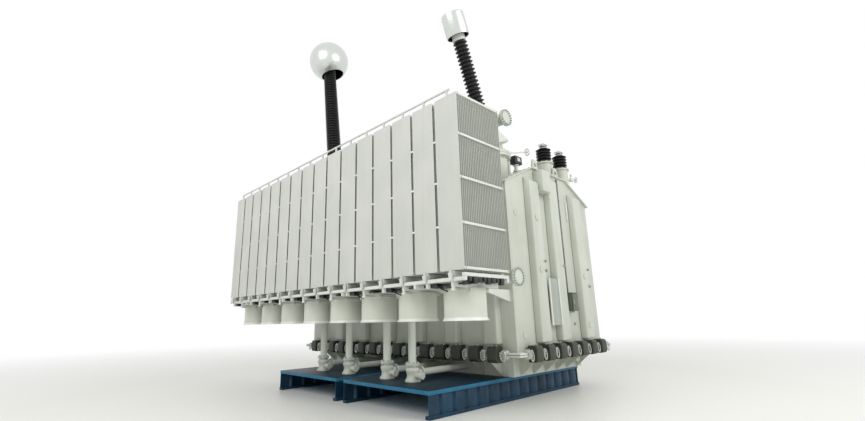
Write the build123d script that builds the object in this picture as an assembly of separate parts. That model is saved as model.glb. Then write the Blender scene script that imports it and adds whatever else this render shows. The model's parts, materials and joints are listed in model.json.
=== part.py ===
from build123d import *
import os

os.makedirs("parts", exist_ok=True)

# Single-phase oil-immersed shunt reactor: a ribbed tank on two transport pallets, with a bank of
# panel radiators carried in front of it, fans below the bank and bushings on the cover.
# Millimetres. X runs along the bank, Y from the bank to the tank, Z is up from the floor.

# Radiator bank
radiator_count = 16
radiator_pitch = 575
panel_width = 520
panel_height = 3011
panel_thickness = 12
panel_count = 26
panel_pitch = 46
bank_underside = 2461
header_width = 90
header_height = 105
header_tail = 30
upper_header_drop = 66
cup_diameter = 92
cup_foot_diameter = 48
cup_height = 115
cup_drop = 40
cup_stand_off = 36
cup_knob_diameter = 50
cup_knob_height = 42
strap_width = 42
strap_thickness = 8
strap_height_shares = (0.008, 0.245, 0.496, 0.746, 0.992)
top_rail_diameter = 40
top_rail_setback = 60
top_rail_post_width = 34
top_rail_post_height = 118
top_rail_tail = 60

# Oil manifolds behind the bank, with a shut-off valve at each radiator
manifold_setback = 1385
manifold_diameter = 219
manifold_overhang = 36
manifold_flange_diameter = 330
manifold_flange_thickness = 34
stub_diameter = 89
valve_diameter = 190
valve_thickness = 60

# Underframe that carries the bank from the tank
rail_width = 60
rail_height = 62
arm_thickness = 50
arm_depth_at_tank = 252
arm_depth_at_tip = 74
arm_taper_length = 740
arm_outer_pitches = 6
arm_inner_pitches = 2
arm_inner_shift = 130
end_rail_height = 60

# Cooling fans under the bank, one for each pair of radiators
radiators_per_fan = 2
fan_setback = 623
drum_diameter = 722
drum_wall = 6
drum_height = 525
drum_lip_reach = 29
drum_lip_height = 48
bearer_width = 50
bearer_height = 82
bearer_spacing = 560
motor_diameter = 210
motor_height = 215
motor_bar_width = 70
motor_bar_thickness = 20
impeller_diameter = 686
impeller_hub_diameter = 180
impeller_hub_height = 96
blade_count = 6
blade_chord = 150
blade_thickness = 5
blade_pitch_angle = 32

# Down pipes from the lower manifold to the pots on the pallets, and the branches into the tank
down_pipe_shares = (-0.170, -0.044, 0.115, 0.205)
down_pipe_diameter = 168
down_flange_diameter = 270
down_flange_thickness = 26
down_stub_length = 70
pot_height = 360
pot_flange_diameter = 300
pot_flange_thickness = 40
pot_waist_diameter = 200
pot_foot_diameter = 330
pot_foot_height = 60
branch_height = 170
branch_diameter = 140
branch_flange_diameter = 240
branch_flange_thickness = 24
branch_reach = 230
pot_stub_height = 130
pot_stub_diameter = 110
pot_stub_reach = 300
pot_cap_diameter = 150
pot_cap_thickness = 60

# Tank: inset base, clamped flange, ribbed walls with gabled ends and a folded roof plate
tank_offset = -400
tank_setback = 2750
tank_length = 7900
tank_width = 3820
tank_base_inset = 400
flange_level = 985
flange_plate = 40
flange_reach = 180
shoulder_level = 4700
cover_rise = 530
cover_flat_width = 1620
roof_overhang = 60
roof_plate = 30
gusset_thickness = 20
gusset_gap = 6
wall_rib_count = 7
wall_rib_pitch = 1135
wall_rib_width = 440
end_rib_shares = (-0.25, -0.02, 0.29)
end_rib_width = 470
rib_depth = 160
rib_draft = 45
rib_foot_gap = 160
rib_top_gap = 90
rib_cap_drop = 130

# Forged clamps that hold the tank flange closed
clamp_pitch = 500
clamp_width = 250
clamp_jaw = 126
clamp_back = 100
clamp_bite = 120
clamp_round = 70

# Pallets
pallet_offset = 222
pallet_setback = 703
pallet_length = 5494
pallet_width = 2670
pallet_gap = 274
pallet_height = 482
deck_thickness = 75
wall_inset = 25
corrugation_count = 15
corrugation_depth = 60
corrugation_sheet = 10
pallet_sill_height = 60
pallet_sill_width = 120

# High-voltage bushing with its spherical shield
hv_inset = 400
hv_setback = 3275
hv_lean = 5.2
hv_turret_diameter = 780
hv_turret_rise = 490
hv_foot_diameter = 700
hv_foot_height = 420
hv_root_diameter = 450
hv_tip_diameter = 330
hv_shed_reach = 58
hv_shed_pitch = 96
hv_shed_count = 50
hv_neck_diameter = 240
hv_sphere_diameter = 1430
hv_sphere_wall = 15
hv_sphere_mouth = 825
hv_socket_diameter = 320

# Line bushing with its cylindrical shield
line_inset = 450
line_setback = 3049
line_lean = 20.6
line_turret_diameter = 600
line_turret_length = 520
line_foot_diameter = 500
line_foot_height = 330
line_root_diameter = 260
line_tip_diameter = 226
line_shed_reach = 55
line_shed_pitch = 96
line_shed_count = 23
line_neck_diameter = 320
line_neck_height = 645
line_shield_diameter = 550
line_shield_length = 545
line_shield_wall = 12

# Small bushings and fittings on the cover and the end wall
small_inset = 290
small_setback_shares = (0.613, 0.835)
small_turret_diameter = 380
small_turret_rise = 470
small_flange_diameter = 470
small_flange_thickness = 40
small_core_diameter = 250
small_shed_diameter = 395
small_shed_pitch = 83
small_shed_count = 5
small_cap_diameter = 170
small_cap_height = 40
small_terminal_diameter = 60
small_terminal_height = 120
relay_inset = 350
relay_setback = 3800
relay_foot_diameter = 90
relay_foot_height = 120
relay_width = 300
relay_depth = 200
relay_height = 260
lug_length = 280
lug_height = 280
lug_thickness = 50
lug_hole = 100
lug_inset = 60
lug_spacing = 996
bracket_drop = 60
bracket_height = 540
bracket_clearance = 14.3
bracket_depth = 250
box_width = 270
box_height = 420
box_depth = 210
box_underside = 1845
box_place_share = 0.097
drain_height = 250
drain_diameter = 90
drain_length = 190
drain_flange_diameter = 220
drain_flange_thickness = 26

# Places worked out from the sizes
cut_overrun = 400
bank_length = (radiator_count - 1) * radiator_pitch + panel_width
bank_depth = (panel_count - 1) * panel_pitch + panel_thickness
bank_top = bank_underside + panel_height
clamp_reach = flange_reach + clamp_back
front_reach = cup_stand_off + cup_diameter / 2
overall_depth = front_reach + tank_setback + tank_width + clamp_reach
bank_front = front_reach - overall_depth / 2
lower_axis = bank_underside - header_height / 2
upper_axis = bank_top - upper_header_drop
manifold_y = bank_front + manifold_setback
manifold_length = bank_length + 2 * manifold_overhang
rail_top = bank_underside - header_height
arm_top = rail_top - rail_height
tank_front = bank_front + tank_setback
tank_back = tank_front + tank_width
tank_y = (tank_front + tank_back) / 2
cover_top = shoulder_level + cover_rise
roof_top = cover_top + roof_plate
hv_turret_top = roof_top + hv_turret_rise
small_turret_top = roof_top + small_turret_rise
bracket_underside = shoulder_level - bracket_drop
pipe_places = [share * bank_length for share in down_pipe_shares]
bank_back = bank_front + bank_depth
header_end_y = bank_back + header_tail
tank_left = tank_offset - tank_length / 2
tank_right = tank_offset + tank_length / 2
hv_station = tank_left + hv_inset
line_station = tank_right - line_inset
small_station = tank_right - small_inset
relay_station = tank_right - relay_inset
end_rib_places = [share * tank_width for share in end_rib_shares]
bracket_width = end_rib_places[1] - end_rib_places[0] - end_rib_width - 2 * bracket_clearance
left_end = hv_station - hv_sphere_diameter / 2
right_end = manifold_length / 2 + manifold_flange_thickness
middle_x = (left_end + right_end) / 2


def save(name, pieces):
    # The middle of the overall length goes to X = 0
    centred = [Pos(-middle_x, 0, 0) * piece for piece in pieces]
    export_step(Compound(children=centred), f"parts/{name}.step")


def spread(count, pitch):
    return [(i - (count - 1) / 2) * pitch for i in range(count)]


def rod(diameter, length):
    # A cylinder standing on the XY plane
    return extrude(Circle(diameter / 2), amount=length)


def along_x(piece):
    return Rot(Y=90) * piece


def along_y(piece):
    return Rot(X=-90) * piece


def turned(profile):
    # A solid of revolution about Z from (radius, height) points that start and end on the axis
    return revolve(make_face(Polyline(*profile, close=True).moved(Rot(X=90))), Axis.Z)


def side_slab(points, thickness):
    # An outline of (y, z) points given thickness along X, centred on X = 0
    outline = Plane.YZ * make_face(Polyline(*points, close=True))
    return extrude(outline, amount=thickness / 2, both=True)


def radiator():
    panel = Pos(0, panel_thickness / 2, panel_height / 2) * Box(panel_width, panel_thickness, panel_height)
    panels = [Pos(0, i * panel_pitch, 0) * panel for i in range(panel_count)]
    header_length = bank_depth + header_tail
    header = Pos(0, header_length / 2, -header_height / 2) * Box(header_width, header_length, header_height)
    upper_length = header_length - panel_pitch
    upper = Box(header_width, upper_length, header_height)
    upper = Pos(0, panel_pitch + upper_length / 2, panel_height - upper_header_drop) * upper
    cup = turned(
        [
            (0, -cup_height),
            (cup_foot_diameter / 2, -cup_height),
            (cup_diameter / 2, 0),
            (cup_knob_diameter / 2, 0),
            (cup_knob_diameter / 2, cup_knob_height),
            (0, cup_knob_height),
        ]
    )
    return Part() + panels + [header, upper, Pos(0, -cup_stand_off, -cup_drop) * cup]


def manifold():
    pipe = Pos(-manifold_length / 2, 0, 0) * along_x(rod(manifold_diameter, manifold_length))
    flange = along_x(rod(manifold_flange_diameter, manifold_flange_thickness))
    ends = [Pos(manifold_length / 2, 0, 0) * flange]
    ends.append(Pos(-manifold_length / 2 - manifold_flange_thickness, 0, 0) * flange)
    stub_length = manifold_y - header_end_y - valve_thickness
    stub = Pos(0, -stub_length, 0) * along_y(rod(stub_diameter, stub_length))
    stubs = [Pos(x, 0, 0) * stub for x in spread(radiator_count, radiator_pitch)]
    return Part() + [pipe] + ends + stubs


def lower_manifold():
    drop = manifold_diameter / 2 + down_stub_length
    stub = Pos(0, 0, -drop) * rod(down_pipe_diameter, drop)
    flange = Pos(0, 0, -drop) * rod(down_flange_diameter, down_flange_thickness)
    drops = [Pos(x, 0, 0) * piece for x in pipe_places for piece in (stub, flange)]
    return manifold() + drops


def down_pipe(length):
    # Pot, waist, flanges and pipe in one turned profile
    pot_neck = pot_height - pot_flange_thickness
    profile = [
        (0, 0),
        (pot_foot_diameter / 2, 0),
        (pot_waist_diameter / 2, pot_foot_height),
        (pot_waist_diameter / 2, pot_neck),
        (pot_flange_diameter / 2, pot_neck),
        (pot_flange_diameter / 2, pot_height),
        (down_pipe_diameter / 2, pot_height),
        (down_pipe_diameter / 2, length - down_flange_thickness),
        (down_flange_diameter / 2, length - down_flange_thickness),
        (down_flange_diameter / 2, length),
        (0, length),
    ]
    branch = along_y(rod(branch_diameter, branch_reach))
    flange_start = branch_reach - branch_flange_thickness
    flange = Pos(0, flange_start, 0) * along_y(rod(branch_flange_diameter, branch_flange_thickness))
    stub = along_x(rod(pot_stub_diameter, pot_stub_reach))
    cap = Pos(pot_stub_reach - pot_cap_thickness, 0, 0) * along_x(rod(pot_cap_diameter, pot_cap_thickness))
    pot = turned(profile) + Pos(0, 0, branch_height) * (branch + flange)
    return pot + Pos(0, 0, pot_stub_height) * (stub + cap)


def return_branch(length):
    pipe = along_y(rod(branch_diameter, length))
    flange = along_y(rod(branch_flange_diameter, branch_flange_thickness))
    return pipe + flange + Pos(0, length - branch_flange_thickness, 0) * flange


def fan_drum():
    # Straight duct with a flared inlet lip at its lower edge
    inner = drum_diameter / 2 - drum_wall
    outer = drum_diameter / 2
    profile = [
        (inner, drum_height),
        (outer, drum_height),
        (outer, drum_lip_height),
        (outer + drum_lip_reach, 0),
        (inner + drum_lip_reach, 0),
        (inner, drum_lip_height),
    ]
    return turned(profile)


def impeller():
    hub = rod(impeller_hub_diameter, impeller_hub_height)
    blade_length = (impeller_diameter - impeller_hub_diameter) / 2 + impeller_hub_diameter / 4
    blade_middle = impeller_diameter / 2 - blade_length / 2
    blade = Rot(X=blade_pitch_angle) * Box(blade_length, blade_chord, blade_thickness)
    blade = Pos(blade_middle, 0, impeller_hub_height / 2) * blade
    turns = [Rot(Z=360 / blade_count * i) * blade for i in range(blade_count)]
    return Part() + [hub] + turns


def fan_motor():
    # Motor under its bar, which spans between the two bearers
    body = Pos(0, 0, -motor_height) * rod(motor_diameter, motor_height)
    bar_length = bearer_spacing - bearer_width
    bar = Pos(0, 0, motor_bar_thickness / 2) * Box(bar_length, motor_bar_width, motor_bar_thickness)
    return body + bar


def support_arm():
    points = [
        (tank_front, arm_top),
        (bank_front, arm_top),
        (bank_front, arm_top - arm_depth_at_tip),
        (tank_front - arm_taper_length, arm_top - arm_depth_at_tip),
        (tank_front, arm_top - arm_depth_at_tank),
    ]
    return side_slab(points, arm_thickness)


def roof_level(y):
    # Underside of the roof plate at a distance y from the tank's middle line
    run = (tank_width - cover_flat_width) / 2
    return shoulder_level + cover_rise * min((tank_width / 2 - y) / run, 1)


def tank_base():
    length = tank_length - 2 * tank_base_inset
    width = tank_width - 2 * tank_base_inset
    height = flange_level - flange_plate - pallet_height
    return Pos(0, 0, pallet_height + height / 2) * Box(length, width, height)


def tank_body():
    edge = tank_width / 2
    flat = cover_flat_width / 2
    foot = flange_level + flange_plate
    points = [
        (-edge, foot),
        (edge, foot),
        (edge, shoulder_level),
        (flat, cover_top),
        (-flat, cover_top),
        (-edge, shoulder_level),
    ]
    return side_slab(points, tank_length)


def tank_cover():
    # Folded roof plate that oversails the walls
    edge = tank_width / 2 + roof_overhang
    flat = cover_flat_width / 2
    eave = roof_level(edge)
    under = [(-edge, eave), (-flat, cover_top), (flat, cover_top), (edge, eave)]
    over = [(y, z + roof_plate) for y, z in reversed(under)]
    return side_slab(under + over, tank_length + 2 * roof_overhang)


def rib(width, top):
    # Welded box stiffener standing out of a wall along -Y, drafted in plan, with a sloping cap
    foot = flange_level + flange_plate + rib_foot_gap
    plan = [(-width / 2, 0), (width / 2, 0), (width / 2 - rib_draft, -rib_depth), (rib_draft - width / 2, -rib_depth)]
    post = Pos(0, 0, foot) * extrude(make_face(Polyline(*plan, close=True)), amount=top - foot)
    side = [(0, foot), (0, top), (-rib_depth, top - rib_cap_drop), (-rib_depth, foot)]
    return post & side_slab(side, width)


def clamp():
    # C-shaped forging biting the flange pair, standing out along -Y from the flange edge at Y = 0
    bite = flange_plate
    high = bite + clamp_jaw
    outline = [
        (clamp_bite, bite),
        (0, bite),
        (0, -bite),
        (clamp_bite, -bite),
        (clamp_bite, -high),
        (-clamp_back, -high),
        (-clamp_back, high),
        (clamp_bite, high),
    ]
    body = side_slab(outline, clamp_width)
    corners = body.edges().filter_by(Axis.X).group_by(Axis.Y)[0]
    return fillet(corners, clamp_round)


def around_tank(piece, long_places, short_places, reach):
    # Copies of a piece that faces -Y, set on the four sides of the tank
    half_length = tank_length / 2 + reach
    half_width = tank_width / 2 + reach
    copies = [Pos(x, -half_width, 0) * piece for x in long_places]
    copies += [Pos(x, half_width, 0) * Rot(Z=180) * piece for x in long_places]
    copies += [Pos(half_length, y, 0) * Rot(Z=90) * piece for y in short_places]
    copies += [Pos(-half_length, y, 0) * Rot(Z=-90) * piece for y in short_places]
    return [Pos(tank_offset, tank_y, 0) * copy for copy in copies]


def base_gusset():
    # Sloping web from the flange edge down to the base wall, facing -Y from the base wall at Y = 0
    top = flange_level - flange_plate
    reach = tank_base_inset + flange_reach - gusset_gap
    return side_slab([(0, pallet_height), (0, top), (-reach, top)], gusset_thickness)


def insulator(root, tip, reach, pitch, count):
    # Tapered core with cone-shaped sheds, standing on Z = 0
    length = pitch * count
    shed_shares = (0.1, 0.45)
    reaches = (0, reach)
    points = [(0, 0), (root / 2, 0)]
    for i in range(count):
        for share, out in zip(shed_shares, reaches):
            level = (i + share) * pitch
            core = (root + (tip - root) * level / length) / 2
            points.append((core + out, level))
    return turned(points + [(tip / 2, length), (0, length)])


def corrugated_wall():
    # Folded sheet standing along Y, seen in plan as a trapezoid wave of constant thickness
    wave = pallet_length / corrugation_count
    fold_shares = (0, 0.72, 0.8, 0.92)
    offsets = (corrugation_depth, corrugation_depth, 0, 0)
    front = [
        (offset, (i + share) * wave)
        for i in range(corrugation_count)
        for share, offset in zip(fold_shares, offsets)
    ]
    front.append((corrugation_depth, pallet_length))
    back = [(x + corrugation_sheet, y) for x, y in reversed(front)]
    height = pallet_height - deck_thickness - pallet_sill_height
    sheet = extrude(make_face(Polyline(*front, *back, close=True)), amount=height)
    sill_x = (corrugation_depth + corrugation_sheet) / 2
    sill = Pos(sill_x, pallet_length / 2, 0) * Box(pallet_sill_width, pallet_length, pallet_sill_height)
    return Pos(0, 0, pallet_sill_height) * sheet + Pos(0, 0, pallet_sill_height / 2) * sill


# Radiator bank
one_radiator = radiator()
radiator_places = spread(radiator_count, radiator_pitch)
save("radiators", [Pos(x, bank_front, bank_underside) * one_radiator for x in radiator_places])

strap_x = bank_length / 2
straps = []
for share in strap_height_shares:
    level = bank_underside + share * panel_height
    strap = Pos(0, bank_front + bank_depth / 2, level) * Box(strap_thickness, bank_depth, strap_width)
    straps += [Pos(side * (strap_x + strap_thickness / 2), 0, 0) * strap for side in (-1, 1)]
save("end_straps", straps)

rail_z = bank_top + top_rail_post_height + top_rail_diameter / 2
top_rail_length = radiator_places[-1] - radiator_places[0] + 2 * top_rail_tail
rail = Pos(-top_rail_length / 2, 0, rail_z) * along_x(rod(top_rail_diameter, top_rail_length))
post_length = rail_z - bank_top
post = Pos(0, 0, rail_z - post_length / 2) * Box(top_rail_post_width, top_rail_post_width, post_length)
posts = [Pos(x, 0, 0) * post for x in radiator_places]
save("top_rail", [Pos(0, bank_front + top_rail_setback, 0) * (rail + posts)])

# Manifolds and their valves
save("upper_manifold", [Pos(0, manifold_y, upper_axis) * manifold()])
save("lower_manifold", [Pos(0, manifold_y, lower_axis) * lower_manifold()])
valve = Pos(0, header_end_y, 0) * along_y(rod(valve_diameter, valve_thickness))
valves = [
    Pos(x, 0, axis) * valve
    for axis in (lower_axis, upper_axis)
    for x in radiator_places
]
save("radiator_valves", valves)

# Underframe
rail_bar = Pos(0, 0, rail_top - rail_height / 2) * Box(bank_length, rail_width, rail_height)
rail_lines = (bank_front + rail_width / 2, bank_back - rail_width / 2)
save("underframe_rails", [Pos(0, y, 0) * rail_bar for y in rail_lines])
end_rail = Box(rail_width, bank_depth, end_rail_height)
end_rail_x = (bank_length - rail_width) / 2
end_rail = Pos(0, bank_front + bank_depth / 2, rail_top + end_rail_height / 2) * end_rail
save("end_rails", [Pos(side * end_rail_x, 0, 0) * end_rail for side in (-1, 1)])
arm_outer = arm_outer_pitches * radiator_pitch
arm_inner = arm_inner_pitches * radiator_pitch + arm_inner_shift
arm_places = (-arm_outer, -arm_inner, arm_inner, arm_outer)
save("support_arms", [Pos(x, 0, 0) * support_arm() for x in arm_places])

# Fans
fan_count = radiator_count // radiators_per_fan
fan_places = spread(fan_count, radiators_per_fan * radiator_pitch)
fan_y = bank_front + fan_setback
bearer = Pos(0, bank_front + bank_depth / 2, arm_top - bearer_height / 2)
bearer = bearer * Box(bearer_width, bank_depth, bearer_height)
bearers = [
    Pos(x + side * bearer_spacing / 2, 0, 0) * bearer
    for x in fan_places
    for side in (-1, 1)
]
save("fan_bearers", bearers)
drum_base = arm_top - bearer_height - drum_height
one_drum = fan_drum()
for number, x in enumerate(fan_places, start=1):
    save(f"fan_drum_{number}", [Pos(x, fan_y, drum_base) * one_drum])
motor_level = arm_top - bearer_height
one_motor = fan_motor()
save("fan_motors", [Pos(x, fan_y, motor_level) * one_motor for x in fan_places])
impeller_level = motor_level - motor_height - impeller_hub_height
one_impeller = impeller()
save("fan_impellers", [Pos(x, fan_y, impeller_level) * one_impeller for x in fan_places])

# Down pipes and branches
pipe_top = lower_axis - manifold_diameter / 2 - down_stub_length
pipe_length = pipe_top - pallet_height
save("down_pipes", [Pos(x, manifold_y, pallet_height) * down_pipe(pipe_length) for x in pipe_places])
branch_start = manifold_y + branch_reach
branch_length = tank_front + tank_base_inset - branch_start
branch_level = pallet_height + branch_height
save(
    "return_branches",
    [Pos(x, branch_start, branch_level) * return_branch(branch_length) for x in pipe_places],
)

# Tank
tank_place = Pos(tank_offset, tank_y, 0)
cover = tank_place * tank_cover()
body = tank_place * tank_body()
plate_length = tank_length + 2 * flange_reach
plate_width = tank_width + 2 * flange_reach
save("tank_base", [tank_place * tank_base()])
save("tank_body", [body])
save("tank_cover", [cover])
save("tank_flanges", [tank_place * Pos(0, 0, flange_level) * Box(plate_length, plate_width, 2 * flange_plate)])

wall_rib_places = spread(wall_rib_count, wall_rib_pitch)
wall_rib_top = shoulder_level - rib_top_gap
save("wall_ribs", around_tank(rib(wall_rib_width, wall_rib_top), wall_rib_places, [], 0))
end_ribs = []
for y in end_rib_places:
    end_rib_top = roof_level(abs(y) + end_rib_width / 2) - rib_top_gap
    end_ribs += around_tank(rib(end_rib_width, end_rib_top), [], [y], 0)
save("end_ribs", end_ribs)
bracket = Pos(0, -bracket_depth / 2, bracket_underside + bracket_height / 2)
bracket = bracket * Box(bracket_width, bracket_depth, bracket_height)
bracket_y = (end_rib_places[0] + end_rib_places[1]) / 2
save("lifting_brackets", around_tank(bracket, [], [bracket_y], 0))

clamp_long = spread(int(tank_length // clamp_pitch), clamp_pitch)
clamp_short = spread(int(tank_width // clamp_pitch), clamp_pitch)
clamps = around_tank(Pos(0, 0, flange_level) * clamp(), clamp_long, clamp_short, flange_reach)
save("flange_clamps", clamps)

branch_clear = branch_flange_diameter / 2 + gusset_thickness
gusset_long = [x + clamp_pitch / 2 for x in clamp_long[:-1]]
gusset_long = [
    x for x in gusset_long
    if all(abs(x + tank_offset - pipe) > branch_clear for pipe in pipe_places)
]
gusset_short = [y + clamp_pitch / 2 for y in clamp_short[:-1]]
save("base_gussets", around_tank(base_gusset(), gusset_long, gusset_short, -tank_base_inset))

# High-voltage bushing
hv_axis = Pos(hv_station, bank_front + hv_setback, 0) * Pos(0, 0, hv_turret_top) * Rot(X=hv_lean)
hv_depth = hv_turret_top - shoulder_level + cut_overrun
hv_turret = hv_axis * Pos(0, 0, -hv_depth) * rod(hv_turret_diameter, hv_depth)
save("hv_turret", [(hv_turret - cover - body).solids().sort_by(Axis.Z)[-1]])
hv_body_length = hv_shed_pitch * hv_shed_count
hv_foot = rod(hv_foot_diameter, hv_foot_height)
hv_body = insulator(hv_root_diameter, hv_tip_diameter, hv_shed_reach, hv_shed_pitch, hv_shed_count)
hv_body_top = hv_foot_height + hv_body_length
hv_sphere_radius = hv_sphere_diameter / 2
hv_neck_length = hv_sphere_radius
hv_neck = Pos(0, 0, hv_body_top) * rod(hv_neck_diameter, hv_neck_length)
hv_bushing = hv_foot + Pos(0, 0, hv_foot_height) * hv_body + hv_neck
save("hv_bushing", [hv_axis * hv_bushing])
hv_centre = hv_body_top + hv_sphere_radius / 2
hv_shell = Sphere(hv_sphere_radius) - Sphere(hv_sphere_radius - hv_sphere_wall)
hv_shell -= Pos(0, 0, -hv_sphere_diameter) * rod(hv_sphere_mouth, hv_sphere_diameter)
hv_socket_base = hv_body_top + hv_neck_length - hv_centre
hv_socket = Pos(0, 0, hv_socket_base) * rod(hv_socket_diameter, hv_sphere_radius)
hv_socket = hv_socket & Sphere(hv_sphere_radius - hv_sphere_wall / 2)
save("hv_shield", [hv_axis * Pos(0, 0, hv_centre) * (hv_shell + hv_socket)])

# Line bushing
line_axis = Pos(line_station, bank_front + line_setback, roof_top) * Rot(X=line_lean)
line_turret = line_axis * Pos(0, 0, -line_turret_diameter)
line_turret = line_turret * rod(line_turret_diameter, line_turret_diameter + line_turret_length)
line_turret = line_turret - cover - body
save("line_turret", [line_turret.solids().sort_by(Axis.Z)[-1]])
line_seat = line_axis * Pos(0, 0, line_turret_length)
line_body = insulator(
    line_root_diameter, line_tip_diameter, line_shed_reach, line_shed_pitch, line_shed_count
)
line_body_top = line_foot_height + line_shed_pitch * line_shed_count
line_neck = Pos(0, 0, line_body_top) * rod(line_neck_diameter, line_neck_height)
line_bushing = rod(line_foot_diameter, line_foot_height) + Pos(0, 0, line_foot_height) * line_body
save("line_bushing", [line_seat * (line_bushing + line_neck)])
shield_top = line_body_top + line_neck_height
shield = rod(line_shield_diameter, line_shield_length + line_shield_wall)
shield -= rod(line_shield_diameter - 2 * line_shield_wall, line_shield_length)
save("line_shield", [line_seat * Pos(0, 0, shield_top - line_shield_length) * shield])

# Small bushings
small_places = [tank_front + share * tank_width for share in small_setback_shares]
small_reach = (small_shed_diameter - small_core_diameter) / 2
small_body = insulator(
    small_core_diameter, small_core_diameter, small_reach, small_shed_pitch, small_shed_count
)
small_body_top = small_shed_pitch * small_shed_count
small_cap = Pos(0, 0, small_body_top) * rod(small_cap_diameter, small_cap_height)
small_terminal = rod(small_terminal_diameter, small_terminal_height)
small_terminal = Pos(0, 0, small_body_top + small_cap_height) * small_terminal
small_bushing = small_body + small_cap + small_terminal
small_post = rod(small_turret_diameter, small_turret_top - shoulder_level)
small_flange = rod(small_flange_diameter, small_flange_thickness)
small_post += Pos(0, 0, small_turret_top - shoulder_level - small_flange_thickness) * small_flange
turrets = []
for y in small_places:
    turret = Pos(small_station, y, shoulder_level) * small_post - cover - body
    turrets.append(turret.solids().sort_by(Axis.Z)[-1])
save("small_turrets", turrets)
save("small_bushings", [Pos(small_station, y, small_turret_top) * small_bushing for y in small_places])

# Gas relay on the cover
relay = Pos(0, 0, relay_foot_height + relay_height / 2) * Box(relay_depth, relay_width, relay_height)
relay += Pos(0, 0, -cover_rise) * rod(relay_foot_diameter, cover_rise + relay_foot_height)
relay = Pos(relay_station, bank_front + relay_setback, roof_top) * relay - cover - body
save("gas_relay", [relay.solids().sort_by(Axis.Z)[-1]])

# Lifting lugs on the cover
lug_outline = [(-lug_length / 2, 0), (lug_length / 2, 0), (lug_length / 4, lug_height), (-lug_length / 4, lug_height)]
lug = side_slab(lug_outline, lug_thickness)
lug -= Pos(-lug_thickness, 0, lug_height / 2) * along_x(rod(lug_hole, 2 * lug_thickness))
lug_x = tank_length / 2 - lug_inset
lug_y = lug_spacing / 2
lugs = [
    Pos(tank_offset + sx * lug_x, tank_y + sy * lug_y, roof_top) * lug
    for sx in (-1, 1)
    for sy in (-1, 1)
]
save("lifting_lugs", lugs)

# Control box on the end wall between two ribs, and the drain valve on the base
box_x = tank_offset + tank_length / 2 + box_depth / 2
box_y = tank_y + box_place_share * tank_width
box = Box(box_depth, box_width, box_height)
save("control_box", [Pos(box_x, box_y, box_underside + box_height / 2) * box])
drain = along_x(rod(drain_diameter, drain_length))
drain_flange = along_x(rod(drain_flange_diameter, drain_flange_thickness))
drain += Pos(drain_length - drain_flange_thickness, 0, 0) * drain_flange
drain_x = tank_offset + tank_length / 2 - tank_base_inset
drain_y = tank_y + clamp_short[-2]
save("drain_valve", [Pos(drain_x, drain_y, pallet_height + drain_height) * drain])

# Pallets
pallet_front = bank_front + pallet_setback
pallet_middles = [pallet_offset + side * (pallet_width + pallet_gap) / 2 for side in (-1, 1)]
deck_z = pallet_height - deck_thickness / 2
deck = Pos(0, pallet_front + pallet_length / 2, deck_z) * Box(pallet_width, pallet_length, deck_thickness)
save("pallet_decks", [Pos(x, 0, 0) * deck for x in pallet_middles])
wall = corrugated_wall()
walls = []
for x in pallet_middles:
    edge = pallet_width / 2 - wall_inset - corrugation_depth - corrugation_sheet
    walls.append(Pos(x + edge, pallet_front, 0) * wall)
    walls.append(Pos(x - edge, pallet_front, 0) * mirror(wall, Plane.YZ))
save("pallet_walls", walls)
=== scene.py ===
# %% [markdown]
# # A large oil-filled reactor on its transport pallets
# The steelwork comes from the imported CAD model, and this lesson dresses it. Each surface gets the finish
# of the real one, edges are rounded so that they catch light, and what is plain in the CAD model is made
# again with its detail, such as pressed panels and the lips of sheds. Bolts and fittings are added.

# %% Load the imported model
import json
import math

import bpy
from mathutils import Matrix, Vector


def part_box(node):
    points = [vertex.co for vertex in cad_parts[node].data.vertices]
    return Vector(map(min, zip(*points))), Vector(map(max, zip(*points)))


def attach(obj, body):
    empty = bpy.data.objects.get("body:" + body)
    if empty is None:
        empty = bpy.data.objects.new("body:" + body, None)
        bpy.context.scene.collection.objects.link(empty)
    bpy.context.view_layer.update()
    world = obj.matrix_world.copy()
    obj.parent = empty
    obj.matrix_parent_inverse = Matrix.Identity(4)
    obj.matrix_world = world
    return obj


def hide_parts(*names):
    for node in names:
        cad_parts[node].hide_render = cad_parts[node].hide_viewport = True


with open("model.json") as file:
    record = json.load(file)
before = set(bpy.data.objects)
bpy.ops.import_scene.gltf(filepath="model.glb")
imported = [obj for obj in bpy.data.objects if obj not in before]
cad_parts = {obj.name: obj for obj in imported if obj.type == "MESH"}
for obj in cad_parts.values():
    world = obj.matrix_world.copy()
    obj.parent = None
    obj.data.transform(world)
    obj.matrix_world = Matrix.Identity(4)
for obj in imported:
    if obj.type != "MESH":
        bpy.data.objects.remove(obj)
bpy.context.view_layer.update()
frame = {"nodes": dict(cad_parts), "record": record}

# %% [markdown]
# ## Working habits
# Operators act on everything that is selected, so each step starts from a clear bench with one piece in
# hand. A piece ends at the origin with its place in its mesh, as the CAD nodes do, so that a pattern
# drawn on Object coordinates has the same scale on all of them.

# %% Bench helpers
def clear_bench():
    if bpy.context.mode != "OBJECT":
        bpy.ops.object.mode_set(mode="OBJECT")
    bpy.ops.object.select_all(action="DESELECT")


def take(piece):
    clear_bench()
    piece.select_set(True)
    bpy.context.view_layer.objects.active = piece
    return piece


def settle(piece):
    take(piece)
    bpy.ops.object.transform_apply(location=True, rotation=True, scale=True)
    return piece


def placed(piece, place):
    piece.matrix_world = place
    return settle(piece)


def joined(pieces):
    clear_bench()
    for piece in pieces:
        piece.select_set(True)
    bpy.context.view_layer.objects.active = pieces[0]
    if len(pieces) > 1:
        bpy.ops.object.join()
    return settle(pieces[0])


def copies(piece, places):
    # One copy with its own mesh at each place, joined into one piece
    made = []
    for place in places:
        twin = piece.copy()
        twin.data = piece.data.copy()
        bpy.context.collection.objects.link(twin)
        twin.matrix_world = place @ piece.matrix_world
        made.append(twin)
    bpy.data.objects.remove(piece)
    return joined(made)


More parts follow.
